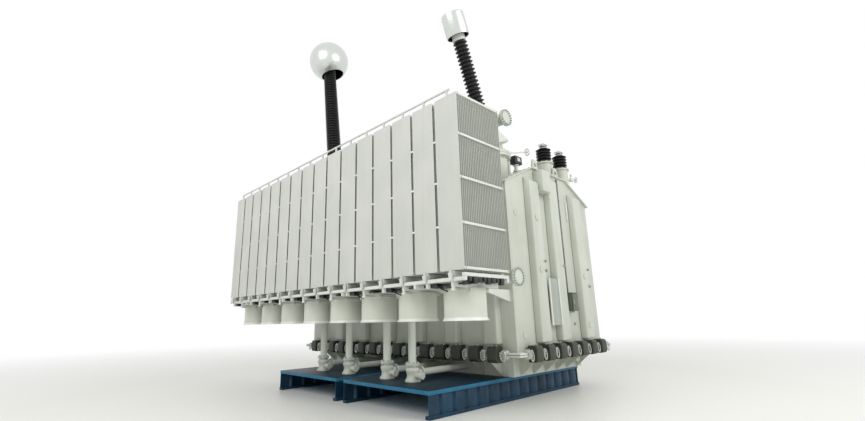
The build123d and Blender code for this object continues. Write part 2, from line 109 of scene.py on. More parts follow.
def aim(at, direction):
    # A place whose own Z axis points along the direction
    turn = Vector(direction).to_track_quat("Z", "Y").to_matrix().to_4x4()
    return Matrix.Translation(at) @ turn


def shift(x=0, y=0, z=0):
    return Matrix.Translation((x, y, z))


def tilt(degrees, axis="Z"):
    return Matrix.Rotation(math.radians(degrees), 4, axis)


print("bench ready,", len(frame["nodes"]), "CAD nodes")

# %% [markdown]
# ## Shaping helpers
# Four ways of making a shape cover this object. A block is a cube at its size with rounded edges. A bar
# is a cylinder between two points. A turned piece is an outline drawn point by point with extrude and
# then spun. A softened piece is a merged copy of a CAD node whose sharp edges get a small radius.

# %% Shaping helpers
def smooth(angle):
    bpy.ops.object.shade_smooth_by_angle(angle=math.radians(angle))


def round_edges(piece, width, segments=2, angle=35):
    take(piece)
    bevel = piece.modifiers.new("edges", "BEVEL")
    bevel.width = width
    bevel.segments = segments
    bevel.limit_method = "ANGLE"
    bevel.angle_limit = math.radians(angle)
    bpy.ops.object.modifier_apply(modifier="edges")
    smooth(angle)
    return piece


def block(size, middle, edge=0.004, segments=2):
    clear_bench()
    bpy.ops.mesh.primitive_cube_add(size=1, location=middle, scale=size)
    return round_edges(settle(bpy.context.object), edge, segments)


def bar(radius, start, end, sides=20, edge=0.002):
    clear_bench()
    run = Vector(end) - Vector(start)
    bpy.ops.mesh.primitive_cylinder_add(vertices=sides, radius=radius, depth=run.length)
    piece = placed(bpy.context.object, aim((Vector(start) + Vector(end)) / 2, run))
    return round_edges(piece, edge, 1, 50)


def turned(points, steps):
    # Spins an outline of (radius, height) points about Z
    clear_bench()
    bpy.context.tool_settings.mesh_select_mode = (True, False, False)
    bpy.ops.mesh.primitive_plane_add(size=0.01, location=(0, 0, 0))
    bpy.ops.object.mode_set(mode="EDIT")
    bpy.ops.mesh.select_all(action="SELECT")
    bpy.ops.mesh.merge(type="CENTER")
    bpy.ops.transform.translate(value=(points[0][0], 0, points[0][1]))
    for (r0, z0), (r1, z1) in zip(points, points[1:]):
        bpy.ops.mesh.extrude_region_move(TRANSFORM_OT_translate={"value": (r1 - r0, 0, z1 - z0)})
    bpy.ops.mesh.select_all(action="SELECT")
    bpy.ops.mesh.spin(steps=steps, angle=2 * math.pi, center=(0, 0, 0), axis=(0, 0, 1))
    bpy.ops.mesh.select_all(action="SELECT")
    bpy.ops.mesh.remove_doubles(threshold=0.00005)
    bpy.ops.mesh.normals_make_consistent(inside=False)
    bpy.ops.object.mode_set(mode="OBJECT")
    smooth(40)
    return bpy.context.object


def softened(node, edge, segments=2, angle=35):
    # A copy of a CAD node, merged from loose triangles, with its sharp edges rounded
    clear_bench()
    piece = bpy.data.objects.new(node + "_soft", frame["nodes"][node].data.copy())
    bpy.context.collection.objects.link(piece)
    take(piece)
    bpy.ops.object.mode_set(mode="EDIT")
    bpy.ops.mesh.select_all(action="SELECT")
    bpy.ops.mesh.customdata_custom_splitnormals_clear()
    bpy.ops.mesh.remove_doubles(threshold=0.00002)
    bpy.ops.mesh.dissolve_limited(angle_limit=math.radians(0.5))
    bpy.ops.object.mode_set(mode="OBJECT")
    return round_edges(piece, edge, segments, angle)


def pick(piece, kind, wanted):
    # Into edit mode with only the wanted edges or polygons selected
    take(piece)
    bpy.context.tool_settings.mesh_select_mode = (False, kind == "edges", kind == "polygons")
    for group in ("vertices", "edges", "polygons"):
        for item in getattr(piece.data, group):
            item.select = group == kind and wanted(item)
    bpy.ops.object.mode_set(mode="EDIT")


def hand_over(piece, name, finish, slot, *nodes):
    # Name, finish and body of a finished piece, and the CAD nodes that it stands for
    piece.name = name
    piece.data.name = name
    piece.data.materials.clear()
    piece.data.materials.append(finish)
    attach(piece, "root")
    if nodes:
        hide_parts(*nodes)
    print(name, len(piece.data.polygons), "faces")
    return piece


print("shaping helpers ready")

# %% [markdown]
# ## Colour and nodes
# Colours are written as sRGB hex values, as a paint card gives them, and turned to linear for the
# shader. One function adds a node with its settings and links.

# %% Colour and nodes
def linear(code):
    parts = [int(code[i:i + 2], 16) / 255 for i in (1, 3, 5)]
    return [p / 12.92 if p <= 0.04045 else ((p + 0.055) / 1.055) ** 2.4 for p in parts] + [1.0]


def add(tree, kind, settings=None, links=None):
    node = tree.nodes.new(kind)
    for key, value in (settings or {}).items():
        if isinstance(key, int) or key in node.inputs:
            node.inputs[key].default_value = value
        else:
            setattr(node, key, value)
    for key, source in (links or {}).items():
        tree.links.new(source, node.inputs[key])
    return node


def per_metre(millimetres):
    # Texture scale at which one feature is this large
    return 1000 / millimetres


def blank_finish(name):
    # A material with an empty tree, and the Object coordinates that its patterns are drawn on
    finish = bpy.data.materials.new(name)
    finish.use_nodes = True
    finish.node_tree.nodes.clear()
    coords = add(finish.node_tree, "ShaderNodeTexCoord")
    return finish, finish.node_tree, coords.outputs["Object"]


print("white is", linear("#ffffff")[:3])

# %% [markdown]
# ## Sprayed enamel
# Nearly all of the steel is sprayed with two-pack enamel over primer. It has a fine orange peel, a
# slight change of tone where coats overlap, and faint runs of dust below ledges. Orange peel is 2 to
# 4 mm across, too fine to show here, so it is drawn at about 30 mm. The tone changes over most of a metre.

# %% Sprayed enamel
def enamel(name, body, overspray, dust, gloss, dust_share=0.35):
    finish, tree, where = blank_finish(name)
    coats = add(tree, "ShaderNodeTexNoise", {"Scale": per_metre(700), "Detail": 3.0}, {"Vector": where})
    coat_mix = add(
        tree, "ShaderNodeMapRange", {"From Min": 0.35, "From Max": 0.65}, {"Value": coats.outputs[0]}
    )
    tone = add(
        tree, "ShaderNodeMix", {"data_type": "RGBA", 6: linear(body), 7: linear(overspray)},
        {0: coat_mix.outputs[0]},
    )
    drawn = add(tree, "ShaderNodeMapping", {"Scale": (1, 1, 0.05)}, {"Vector": where})
    runs = add(
        tree, "ShaderNodeTexNoise", {"Scale": per_metre(90), "Detail": 4.0}, {"Vector": drawn.outputs[0]}
    )
    run_mix = add(
        tree, "ShaderNodeMapRange", {"From Min": 0.52, "From Max": 0.80, "To Max": dust_share},
        {"Value": runs.outputs[0]},
    )
    dusty = add(
        tree, "ShaderNodeMix", {"data_type": "RGBA", 7: linear(dust)},
        {0: run_mix.outputs[0], 6: tone.outputs[2]},
    )
    peel = add(tree, "ShaderNodeTexNoise", {"Scale": per_metre(30), "Detail": 2.0}, {"Vector": where})
    rough = add(
        tree, "ShaderNodeMapRange", {"To Min": gloss - 0.06, "To Max": gloss + 0.08},
        {"Value": coats.outputs[0]},
    )
    bump = add(tree, "ShaderNodeBump", {"Strength": 0.10, "Distance": 0.002}, {"Height": peel.outputs[0]})
    shader = add(
        tree, "ShaderNodeBsdfPrincipled", {"IOR": 1.5},
        {"Base Color": dusty.outputs[2], "Roughness": rough.outputs[0], "Normal": bump.outputs[0]},
    )
    add(tree, "ShaderNodeOutputMaterial", links={"Surface": shader.outputs[0]})
    return finish


radiator_enamel = enamel("radiator_enamel", "#cdcfc8", "#c6c9c1", "#b4b7ab", 0.42, 0.25)
tank_enamel = enamel("tank_enamel", "#c9cdc2", "#c1c6ba", "#aab09f", 0.40)
drum_enamel = enamel("fan_drum_enamel", "#d3d6ca", "#cdd1c4", "#b7b9aa", 0.36, 0.2)
frame_enamel = enamel("framework_enamel", "#dcdfd8", "#d3d7cf", "#b4b9aa", 0.36, 0.3)
# Pale enamel: the tie clips' own paint, and a painted highlight on the fan inlet rims
pale_and_highlight_enamel = enamel("pale_enamel_and_rim_highlight", "#ecede8", "#e6e8e1", "#d3d5cb", 0.30, 0.15)
# A darker copy of the tank paint, which is painted shade on the cover plate between the ribs
shaded_plate_enamel = enamel("cover_plate_painted_shade", "#a7ada4", "#9fa69c", "#8f968a", 0.42)
pipe_enamel = enamel("oil_pipe_enamel", "#cfd4ca", "#c6ccc0", "#aab1a0", 0.38)
box_enamel = enamel("control_box_enamel", "#69705f", "#626a5a", "#7d8272", 0.45)
motor_enamel = enamel("fan_motor_enamel", "#7c8079", "#72766f", "#8f9287", 0.45)
relay_enamel = enamel("relay_stove_enamel", "#1c1d1f", "#232527", "#3a3c3c", 0.32)
print(len(bpy.data.materials), "materials")

# %% [markdown]
# ## Blue pallet paint
# The pallets are brush-painted steel that is dragged, scraped and stood on. Their paint is thinner on
# edges, where the Bevel node finds the corners. Faces that point up turn dark, partly soiling by feet and
# oil and partly painted shade from the tank above. The sides get darker paint than the decks, as painted
# shade under the deck edge, so one function mixes both paints. Dirt dulls them, hence the low specular
# level.

# %% Blue pallet paint
def pallet_blue(name, fresh, aged):
    finish, tree, where = blank_finish(name)
    patches = add(
        tree, "ShaderNodeTexNoise", {"Scale": per_metre(450), "Detail": 5.0, "Roughness": 0.6},
        {"Vector": where},
    )
    patch_mix = add(
        tree, "ShaderNodeMapRange", {"From Min": 0.40, "From Max": 0.66}, {"Value": patches.outputs[0]}
    )
    blue = add(
        tree, "ShaderNodeMix", {"data_type": "RGBA", 6: linear(fresh), 7: linear(aged)},
        {0: patch_mix.outputs[0]},
    )
    scuffs = add(
        tree, "ShaderNodeTexNoise", {"Scale": per_metre(60), "Detail": 6.0, "Roughness": 0.7},
        {"Vector": where},
    )
    scuff_mix = add(
        tree, "ShaderNodeMapRange", {"From Min": 0.60, "From Max": 0.78, "To Max": 0.5},
        {"Value": scuffs.outputs[0]},
    )
    scuffed = add(
        tree, "ShaderNodeMix", {"data_type": "RGBA", 7: linear("#162e3c")},
        {0: scuff_mix.outputs[0], 6: blue.outputs[2]},
    )
    facing = add(tree, "ShaderNodeNewGeometry")
    rounded = add(tree, "ShaderNodeBevel", {"samples": 4, "Radius": 0.012})
    corner = add(
        tree, "ShaderNodeVectorMath", {"operation": "DOT_PRODUCT"},
        {0: facing.outputs["Normal"], 1: rounded.outputs[0]},
    )
    edge_mix = add(
        tree, "ShaderNodeMapRange", {"From Min": 0.985, "From Max": 0.85, "To Max": 0.5},
        {"Value": corner.outputs["Value"]},
    )
    worn = add(
        tree, "ShaderNodeMix", {"data_type": "RGBA", 7: linear("#3f7f9c")},
        {0: edge_mix.outputs[0], 6: scuffed.outputs[2]},
    )
    lie = add(tree, "ShaderNodeSeparateXYZ", links={0: facing.outputs["Normal"]})
    # Faces that point up turn dark: soiling by feet and oil, and painted shade from the tank above
    trodden_and_shaded = add(
        tree, "ShaderNodeMapRange", {"From Min": 0.6, "From Max": 0.95, "To Max": 0.9},
        {"Value": lie.outputs["Z"]},
    )
    soiled_and_shaded = add(
        tree, "ShaderNodeMix", {"data_type": "RGBA", 7: linear("#161f27")},
        {0: trodden_and_shaded.outputs[0], 6: worn.outputs[2]},
    )
    brush = add(tree, "ShaderNodeBump", {"Strength": 0.15, "Distance": 0.002}, {"Height": scuffs.outputs[0]})
    shader = add(
        tree, "ShaderNodeBsdfPrincipled", {"Roughness": 0.46, "IOR": 1.5, "Specular IOR Level": 0.25},
        {"Base Color": soiled_and_shaded.outputs[2], "Normal": brush.outputs[0]},
    )
    add(tree, "ShaderNodeOutputMaterial", links={"Surface": shader.outputs[0]})
    print(name, len(tree.nodes), "nodes")
    return finish


deck_paint = pallet_blue("pallet_deck_paint", "#2a7293", "#205c7b")
# The sides get a darker copy of the blue, which is painted shade under the deck edge
shaded_side_paint = pallet_blue("pallet_side_paint_shaded", "#163c54", "#0f2637")

# %% [markdown]
# ## Forged iron
# The flange clamps are forgings with a scaly skin under thin dark paint. Real scale is a few millimetres
# across; it is drawn at 40 mm so that it shows. One noise drives tone, roughness and relief, as scale does.
# The function for it also makes the two bare metals below.

# %% Forged iron
def mottled(name, size, pattern, tones, roughness, shading, relief=None, stretch=None):
    finish, tree, where = blank_finish(name)
    if stretch:
        where = add(tree, "ShaderNodeMapping", {"Scale": stretch}, {"Vector": where}).outputs[0]
    pattern = {"Scale": per_metre(size), **pattern}
    noise = add(tree, "ShaderNodeTexNoise", pattern, {"Vector": where}).outputs[0]
    first, second = [linear(tone) for tone in tones]
    tone = add(tree, "ShaderNodeMix", {"data_type": "RGBA", 6: first, 7: second}, {0: noise})
    rough = add(
        tree, "ShaderNodeMapRange", {"To Min": roughness[0], "To Max": roughness[1]}, {"Value": noise}
    )
    links = {"Base Color": tone.outputs[2], "Roughness": rough.outputs[0]}
    if relief:
        bump = add(
            tree, "ShaderNodeBump", {"Strength": relief[0], "Distance": relief[1]}, {"Height": noise}
        )
        links["Normal"] = bump.outputs[0]
    shader = add(tree, "ShaderNodeBsdfPrincipled", shading, links)
    add(tree, "ShaderNodeOutputMaterial", links={"Surface": shader.outputs[0]})
    return finish


forged_iron = mottled(
    "forged_iron", 40, {"Detail": 6.0, "Roughness": 0.65}, ("#24281f", "#3c4234"), (0.38, 0.62),
    {"IOR": 1.5}, relief=(0.35, 0.004),
)
print(forged_iron.name)

# %% [markdown]
# ## Zinc plate
# Bolts and small hardware are zinc plated: a dull metal with a cloudy sheen. Patches about 25 mm across vary
# its tone and its roughness together.

# %% Zinc plate
zinc_plate = mottled(
    "zinc_plate", 25, {"Detail": 3.0}, ("#c3c6c0", "#a3a79f"), (0.28, 0.5), {"Metallic": 0.85}
)
print(zinc_plate.name)

# %% [markdown]
# ## Silicone rubber
# The insulators are moulded silicone rubber, black and slightly waxy. Dust settles on what faces upwards, so
# the normal's Z value brings in a grey film that a broad noise breaks up.

# %% Silicone rubber
silicone_rubber, tree, where = blank_finish("silicone_rubber")
bloom = add(tree, "ShaderNodeTexNoise", {"Scale": per_metre(160), "Detail": 4.0}, {"Vector": where})
upward = add(tree, "ShaderNodeSeparateXYZ", links={0: add(tree, "ShaderNodeNewGeometry").outputs["Normal"]})
settled = add(
    tree, "ShaderNodeMapRange", {"From Min": 0.1, "From Max": 0.9, "To Max": 0.35},
    {"Value": upward.outputs["Z"]},
)
dust_film = add(
    tree, "ShaderNodeMath", {"operation": "MULTIPLY"}, {0: settled.outputs[0], 1: bloom.outputs[0]}
)
rubber_tone = add(
    tree, "ShaderNodeMix", {"data_type": "RGBA", 6: linear("#17181a"), 7: linear("#4b4d4d")},
    {0: dust_film.outputs[0]},
)
rubber_rough = add(tree, "ShaderNodeMapRange", {"To Min": 0.34, "To Max": 0.55}, {"Value": bloom.outputs[0]})
shader = add(
    tree, "ShaderNodeBsdfPrincipled", {"IOR": 1.41},
    {"Base Color": rubber_tone.outputs[2], "Roughness": rubber_rough.outputs[0]},
)
add(tree, "ShaderNodeOutputMaterial", links={"Surface": shader.outputs[0]})
print(silicone_rubber.name)

# %% [markdown]
# ## Spun aluminium
# The shields are spun from sheet over a former and polished. The tool leaves rings about a millimetre apart,
# drawn here as 20 mm bands: a noise that is stretched sideways and squeezed along Z.

# %% Spun aluminium
spun_aluminium = mottled(
    "spun_aluminium", 120, {"Detail": 4.0}, ("#dde0dc", "#ccd1cc"), (0.20, 0.32), {"Metallic": 0.9},
    relief=(0.05, 0.002), stretch=(0.15, 0.15, 6),
)
print(spun_aluminium.name)

# %% [markdown]
# ## Where things are
# The CAD boxes give the places of the main pieces, so that the fittings sit on what carries them.

# %% Places
radiator_low, radiator_high = map(Vector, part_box("radiators"))
tank_low, tank_high = map(Vector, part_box("tank_body"))
rail_low, rail_high = map(Vector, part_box("underframe_rails"))
cup_foot_drop = 0.155
cup_reach = 0.082
bank_x = (radiator_low.x + radiator_high.x) / 2
bank_front = radiator_low.y + cup_reach
bank_low = radiator_low.z + cup_foot_drop
bank_high = radiator_high.z
radiator_count, radiator_pitch = 16, 0.575
radiator_xs = [bank_x + (i - (radiator_count - 1) / 2) * radiator_pitch for i in range(radiator_count)]
fan_xs = [(radiator_xs[i] + radiator_xs[i + 1]) / 2 for i in range(0, radiator_count, 2)]
tank_x = (tank_low.x + tank_high.x) / 2
tank_y = (tank_low.y + tank_high.y) / 2
print("bank front", round(bank_front, 3), "bank from", round(bank_low, 3), "to", round(bank_high, 3))

# %% [markdown]
# ## Radiator panels
# A radiator panel is two pressed sheets welded along a flat rim, with the oil between them. One panel is
# a thin cube: its corners are cut with bevel, then inset with a little depth raises the field inside the
# rim on both sides. Two Array modifiers make the panels of a radiator and the radiators of the bank.

# %% Radiator panels
panel_width, panel_thickness = 0.520, 0.0066
panel_count, panel_pitch = 26, 0.046
corner_cut, rim_width, press_width, press_depth = 0.030, 0.010, 0.008, 0.0025
clear_bench()
bpy.ops.mesh.primitive_cube_add(
    size=1, scale=(panel_width, panel_thickness, bank_high - bank_low),
    location=(radiator_xs[0], bank_front + 0.006, (bank_low + bank_high) / 2),
)
panel = settle(bpy.context.object)
spots = panel.data.vertices
pick(panel, "edges", lambda edge: abs(spots[edge.vertices[0]].co.y - spots[edge.vertices[1]].co.y) > 0.001)
bpy.ops.mesh.bevel(offset=corner_cut, segments=3, affect="EDGES")
bpy.ops.object.mode_set(mode="OBJECT")
pick(panel, "polygons", lambda face: abs(face.normal.y) > 0.9)
bpy.ops.mesh.inset(thickness=rim_width)
bpy.ops.mesh.inset(thickness=press_width, depth=press_depth)
bpy.ops.object.mode_set(mode="OBJECT")
for count, step in ((panel_count, (0, panel_pitch, 0)), (radiator_count, (radiator_pitch, 0, 0))):
    array = panel.modifiers.new("row", "ARRAY")
    array.count = count
    array.use_relative_offset = False
    array.use_constant_offset = True
    array.constant_offset_displace = step
    bpy.ops.object.modifier_apply(modifier="row")
smooth(20)
header_width, header_depth, header_edge = 0.090, 0.105, 0.018
header_length = radiator_high.y - bank_front
header_y = bank_front + header_length / 2
lower_header = block(
    (header_width, header_length, header_depth), (0, header_y, bank_low - header_depth / 2), header_edge, 3
)
upper_header = block(
    (header_width, header_length - 0.05, header_depth), (0, header_y + 0.025, bank_high - 0.066),
    header_edge, 3,
)
headers = copies(joined([lower_header, upper_header]), [shift(x) for x in radiator_xs])
hand_over(joined([panel, headers]), "radiator_panels", radiator_enamel, "radiator_paint", "radiators")

# %% [markdown]
# ## Tie clips
# Neighbouring radiators are tied at three levels so that they can't swing in transport. Seen from the
# front the clips are small pale dots in the dark gaps.

# %% Tie clips
strap_shares = (0.008, 0.245, 0.496, 0.746, 0.992)
strap_zs = [bank_low + share * (bank_high - bank_low) for share in strap_shares]
clip = block((radiator_pitch - 0.500, 0.030, 0.034), (0, bank_front + 0.018, 0), 0.006)
clip_xs = [(a + b) / 2 for a, b in zip(radiator_xs, radiator_xs[1:])]
clips = copies(clip, [shift(x, 0, z) for x in clip_xs for z in strap_zs[1:4]])
hand_over(clips, "tie_clips", pale_and_highlight_enamel, "frame_paint")

# %% [markdown]
# ## Drain cups and bells
# At the front of each lower header stands a white cast funnel with a ball valve on top, and below the
# rail a small bell hangs under every second one. Both are turned shapes, so one outline each is enough.

# %% Drain cups and bells
cup = turned(
    [(0, -0.115), (0.022, -0.115), (0.025, -0.109), (0.043, -0.014), (0.046, -0.004), (0.042, 0.002),
     (0.020, 0.004), (0.017, 0.010), (0.0245, 0.020), (0.025, 0.028), (0.020, 0.037), (0.009, 0.042),
     (0, 0.042)],
    24,
)
cups = copies(cup, [shift(x, bank_front - 0.036, bank_low - 0.040) for x in radiator_xs])
bell = turned(
    [(0, 0.002), (0.016, 0.002), (0.016, -0.010), (0.009, -0.016), (0.009, -0.040), (0.016, -0.056),
     (0.030, -0.092), (0.043, -0.132), (0.043, -0.142), (0.034, -0.142), (0.026, -0.112), (0, -0.100)],
    24,
)
bells = copies(bell, [shift(x, bank_front + 0.022, rail_low.z) for x in radiator_xs[1::2]])
hand_over(joined([cups, bells]), "drain_cups", frame_enamel, "frame_paint")

# %% [markdown]
# ## Fan drums
# Each fan blows upwards through a rolled sheet duct. Its inlet at the bottom is a flared bell that catches
# the light as a bright band, which a paler skin over the flare adds to as a painted highlight. A bead
# stiffens the top, and a lapped seam closes the sheet at the back.

# %% Fan drums
drum_low, drum_high = map(Vector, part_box("fan_drum_1"))
drum_height = drum_high.z - drum_low.z
drum_y = (drum_low.y + drum_high.y) / 2
duct_radius = 0.361
drum = turned(
    [(0.355, drum_height), (duct_radius, drum_height), (duct_radius, drum_height - 0.024),
     (0.367, drum_height - 0.030), (0.367, drum_height - 0.040), (duct_radius, drum_height - 0.046),
     (duct_radius, 0.066), (0.363, 0.058), (0.369, 0.040), (0.379, 0.020), (0.390, 0.004), (0.390, 0.0),
     (0.384, 0.0), (0.373, 0.018), (0.363, 0.038), (0.357, 0.056), (0.355, 0.066), (0.355, drum_height)],
    72,
)
seam = block((0.050, 0.004, drum_height - 0.14), (0, 0.3625, drum_height / 2 + 0.01), 0.001, 1)
lug = block((0.070, 0.030, 0.060), (0.376, 0, drum_height - 0.034), 0.004)
lugs = copies(lug, [tilt(angle) for angle in (35, 145, 215, 325)])
drum_places = [shift(x, drum_y, drum_low.z) for x in fan_xs]
drums = copies(joined([drum, seam, lugs]), drum_places)
hand_over(drums, "fan_ducts", drum_enamel, "drum_paint", *[f"fan_drum_{i}" for i in range(1, 9)])
# A paler skin just outside the flare is a painted highlight on the inlet bell
rim = turned(
    [(0.3635, 0.056), (0.3700, 0.039), (0.3805, 0.019), (0.3900, 0.005), (0.3900, 0.0005),
     (0.3850, 0.0005), (0.3790, 0.017), (0.3690, 0.037), (0.3620, 0.056), (0.3635, 0.056)],
    72,
)
hand_over(copies(rim, drum_places), "fan_inlet_painted_highlight", pale_and_highlight_enamel, "drum_paint")

# %% [markdown]
# ## Fan wheels and motors
# A blade is a grid that Solidify thickens and Simple Deform twists, as a real blade is flatter at its
# tip than at its root. The motor is a turned body with cooling fins that the spin operator repeats.

# %% Fan wheels and motors
wheel_low, wheel_high = map(Vector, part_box("fan_impellers"))
wheel_z = (wheel_low.z + wheel_high.z) / 2
clear_bench()
bpy.ops.mesh.primitive_grid_add(x_subdivisions=8, y_subdivisions=3, size=1)
blade = bpy.context.object
blade.scale = (0.285, 0.145, 1)
settle(blade)
twist = blade.modifiers.new("twist", "SIMPLE_DEFORM")
twist.deform_method = "TWIST"
twist.deform_axis = "X"
twist.angle = math.radians(-24)
bpy.ops.object.modifier_apply(modifier="twist")
thick = blade.modifiers.new("sheet", "SOLIDIFY")
thick.thickness = 0.005
thick.offset = 0
bpy.ops.object.modifier_apply(modifier="sheet")
blade_count, blade_pitch, blade_middle = 6, 30, 0.198
placed(blade, shift(blade_middle) @ tilt(blade_pitch, "X"))
blades = copies(blade, [tilt(360 / blade_count * i) for i in range(blade_count)])
hub = turned(
    [(0, -0.048), (0.050, -0.048), (0.078, -0.040), (0.088, -0.026), (0.090, -0.010), (0.090, 0.048),
     (0, 0.048)],
    32,
)
wheel = joined([blades, hub])
smooth(35)
wheels = copies(wheel, [shift(x, drum_y, wheel_z) for x in fan_xs])
hand_over(wheels, "fan_wheels", motor_enamel, "fan_paint", "fan_impellers")

motor_low, motor_high = map(Vector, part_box("fan_motors"))
motor_height = motor_high.z - motor_low.z
body = turned(
    [(0, 0), (0.060, 0), (0.090, 0.012), (0.095, 0.030), (0.095, motor_height - 0.055),
     (0.105, motor_height - 0.050), (0.105, motor_height - 0.020), (0, motor_height - 0.020)],
    32,
)
fin = block((0.014, 0.005, motor_height - 0.110), (0.098, 0, motor_height / 2 - 0.012), 0.001, 1)
take(fin)
bpy.ops.object.mode_set(mode="EDIT")
bpy.ops.mesh.select_all(action="SELECT")
bpy.ops.mesh.spin(steps=24, dupli=True, angle=2 * math.pi, center=(0, 0, 0), axis=(0, 0, 1))
bpy.ops.object.mode_set(mode="OBJECT")
cross_bar = block((0.510, 0.070, 0.020), (0, 0, motor_height - 0.010), 0.003)
motors = copies(joined([body, fin, cross_bar]), [shift(x, drum_y, motor_low.z) for x in fan_xs])
hand_over(motors, "finned_fan_motors", motor_enamel, "fan_paint", "fan_motors")

# %% [markdown]
# ## Framework, straps and rails
# These are plain bars and plates in the CAD model, and their shape is right. A merged copy with a small
# edge radius is enough for them to catch light as painted steel does.

# %% Framework
for node, edge in (
    ("end_straps", 0.002), ("top_rail", 0.003), ("underframe_rails", 0.008), ("end_rails", 0.008),
    ("support_arms", 0.004), ("fan_bearers", 0.006),
):
    hand_over(softened(node, edge), node + "_steel", frame_enamel, "frame_paint", node)

# %% [markdown]
# ## Fan wiring
# Above the drums runs a cable tray that hangs on rods from the headers. Terminal boxes and cables for each
# fan fill the slot under the bank with dark shapes. One set is modelled and copied to all eight fans, and a
# row of boxes of uneven depth hangs at the end rail.

# %% Fan wiring
header_under = bank_low - header_depth
gear_z = (rail_low.z + drum_high.z) / 2
gear_y = bank_front + 0.135
tray_y = bank_front + 0.250
drum_front = drum_y - duct_radius
gear = [
    block((0.150, 0.150, 0.074), (-0.180, gear_y, gear_z), 0.008),
    block((0.090, 0.150, 0.060), (0.200, gear_y, gear_z - 0.006), 0.008),
    block((0.060, 0.150, 0.050), (0.470, gear_y, gear_z + 0.010), 0.006),
    bar(0.014, (-0.520, tray_y - 0.030, gear_z + 0.026), (-0.240, gear_y, gear_z + 0.008), 12),
    bar(0.014, (-0.110, gear_y, gear_z - 0.006), (0.170, gear_y, gear_z + 0.012), 12),
    bar(0.014, (0.230, gear_y - 0.010, gear_z), (0.450, gear_y + 0.020, gear_z + 0.014), 12),
    bar(0.011, (-0.150, gear_y, gear_z - 0.020), (-0.060, drum_front + 0.004, drum_high.z - 0.050), 12),
]
wiring = copies(joined(gear), [shift(x) for x in fan_xs])
tray_length = radiator_high.x - radiator_low.x - 0.40
tray = block((tray_length, 0.090, 0.040), (bank_x, tray_y, gear_z + 0.014), 0.004)
end_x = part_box("end_rails")[1][0] - 0.030
end_gear = []
for i in range(8):
    deep = (0.075, 0.112, 0.090)[i % 3]
    size = (0.056 + 0.012 * (i % 2), 0.070 + 0.020 * (i % 3), deep)
    middle = (end_x, bank_front + 0.140 + 0.118 * i, rail_high.z - deep / 2 + 0.003)
    end_gear.append(block(size, middle, 0.007))
hand_over(joined([wiring, tray] + end_gear), "fan_wiring", relay_enamel, "fan_paint")
rod = bar(0.012, (0, tray_y, gear_z + 0.010), (0, tray_y, header_under + 0.004), 12)
rod_nut = bar(0.024, (0, tray_y, gear_z - 0.022), (0, tray_y, gear_z - 0.004), 6)
hangers = copies(joined([rod, rod_nut]), [shift(x) for x in radiator_xs])
hand_over(hangers, "tray_hangers", zinc_plate, "frame_paint")

# %% [markdown]
# ## Tank, roof and ribs
# The tank is welded from thick plate. Its ribs are folded boxes with a bend radius of about 30 mm, so they
# get three segments; flat plates only lose their sharp corner.

# %% Tank
for node, edge, segments in (
    ("tank_body", 0.010, 2), ("tank_base", 0.010, 2), ("tank_cover", 0.006, 2), ("wall_ribs", 0.030, 3),
    ("end_ribs", 0.030, 3), ("base_gussets", 0.004, 1), ("hv_turret", 0.008, 2),
    ("small_turrets", 0.006, 2), ("lifting_lugs", 0.008, 2), ("lifting_brackets", 0.012, 2),
):
    hand_over(softened(node, edge, segments), node + "_plate", tank_enamel, "tank_paint", node)

# %% [markdown]
# ## Tank flange
# Two thick plates with a gasket between them run round the tank. Seen between the clamps they are two
# bright strips with a dark line, so they are two blocks on a narrower, darker one.

# %% Tank flange
flange_low, flange_high = map(Vector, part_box("tank_flanges"))
flange_size = flange_high - flange_low
flange_middle = (flange_low + flange_high) / 2
plates = [
    block((flange_size.x, flange_size.y, 0.034), flange_middle + Vector((0, 0, side * 0.023)), 0.004)
    for side in (-1, 1)
]
hand_over(joined(plates), "flange_plates", frame_enamel, "tank_paint", "tank_flanges")
gasket = block((flange_size.x - 0.04, flange_size.y - 0.04, 0.014), flange_middle, 0.003)
hand_over(gasket, "flange_gasket", silicone_rubber, "silicone")

# %% [markdown]
# ## Clamps
# Forged clamps bite the flange pair all the way round. The CAD forging gets a generous radius. Its two zinc
# set screws come with the bolt rows.

# %% Clamps
hand_over(softened("flange_clamps", 0.014, 3), "forged_clamps", forged_iron, "clamp_iron", "flange_clamps")

# %% [markdown]
# ## Saddles and eyes between the clamps
# Between two clamps, and beside the corners, sits a pale saddle that keys the two flanges together. An oval
# link hangs on its face: a torus that is stretched and set upright on a short shank. They break up the dark
# row of clamps with light metal.

# %% Saddles and eyes
clamp_pitch = 0.5
long_corner, short_corner = 3.76, 1.76
long_gaps = [tank_x + (i - 6.5) * clamp_pitch for i in range(14)]
long_gaps += [tank_x - long_corner, tank_x + long_corner]
short_gaps = [tank_y + (i - 2.5) * clamp_pitch for i in range(6)]
short_gaps += [tank_y - short_corner, tank_y + short_corner]
saddle_places = []
for x in long_gaps:
    saddle_places.append(shift(x, flange_low.y, flange_middle.z))
    saddle_places.append(shift(x, flange_high.y, flange_middle.z) @ tilt(180))
for y in short_gaps:
    saddle_places.append(shift(flange_high.x, y, flange_middle.z) @ tilt(90))
    saddle_places.append(shift(flange_low.x, y, flange_middle.z) @ tilt(-90))
jaws = [block((0.130, 0.110, 0.040), (0, 0.020, side * 0.062), 0.010) for side in (1, -1)]
saddle = joined(jaws + [block((0.090, 0.034, 0.150), (0, -0.016, 0), 0.010)])
hand_over(copies(saddle, saddle_places), "flange_saddles", pipe_enamel, "tank_paint")
clear_bench()
bpy.ops.mesh.primitive_torus_add(major_radius=0.058, minor_radius=0.012, major_segments=24, minor_segments=8)
eye = bpy.context.object
eye.scale = (1, 1.7, 1)
placed(settle(eye), shift(0, -0.064, -0.020) @ tilt(86, "X"))
eye = joined([eye, bar(0.014, (0, -0.074, 0.064), (0, -0.020, 0.064), 14)])
smooth(40)
hand_over(copies(eye, saddle_places), "flange_eyes", zinc_plate, "shield_metal")

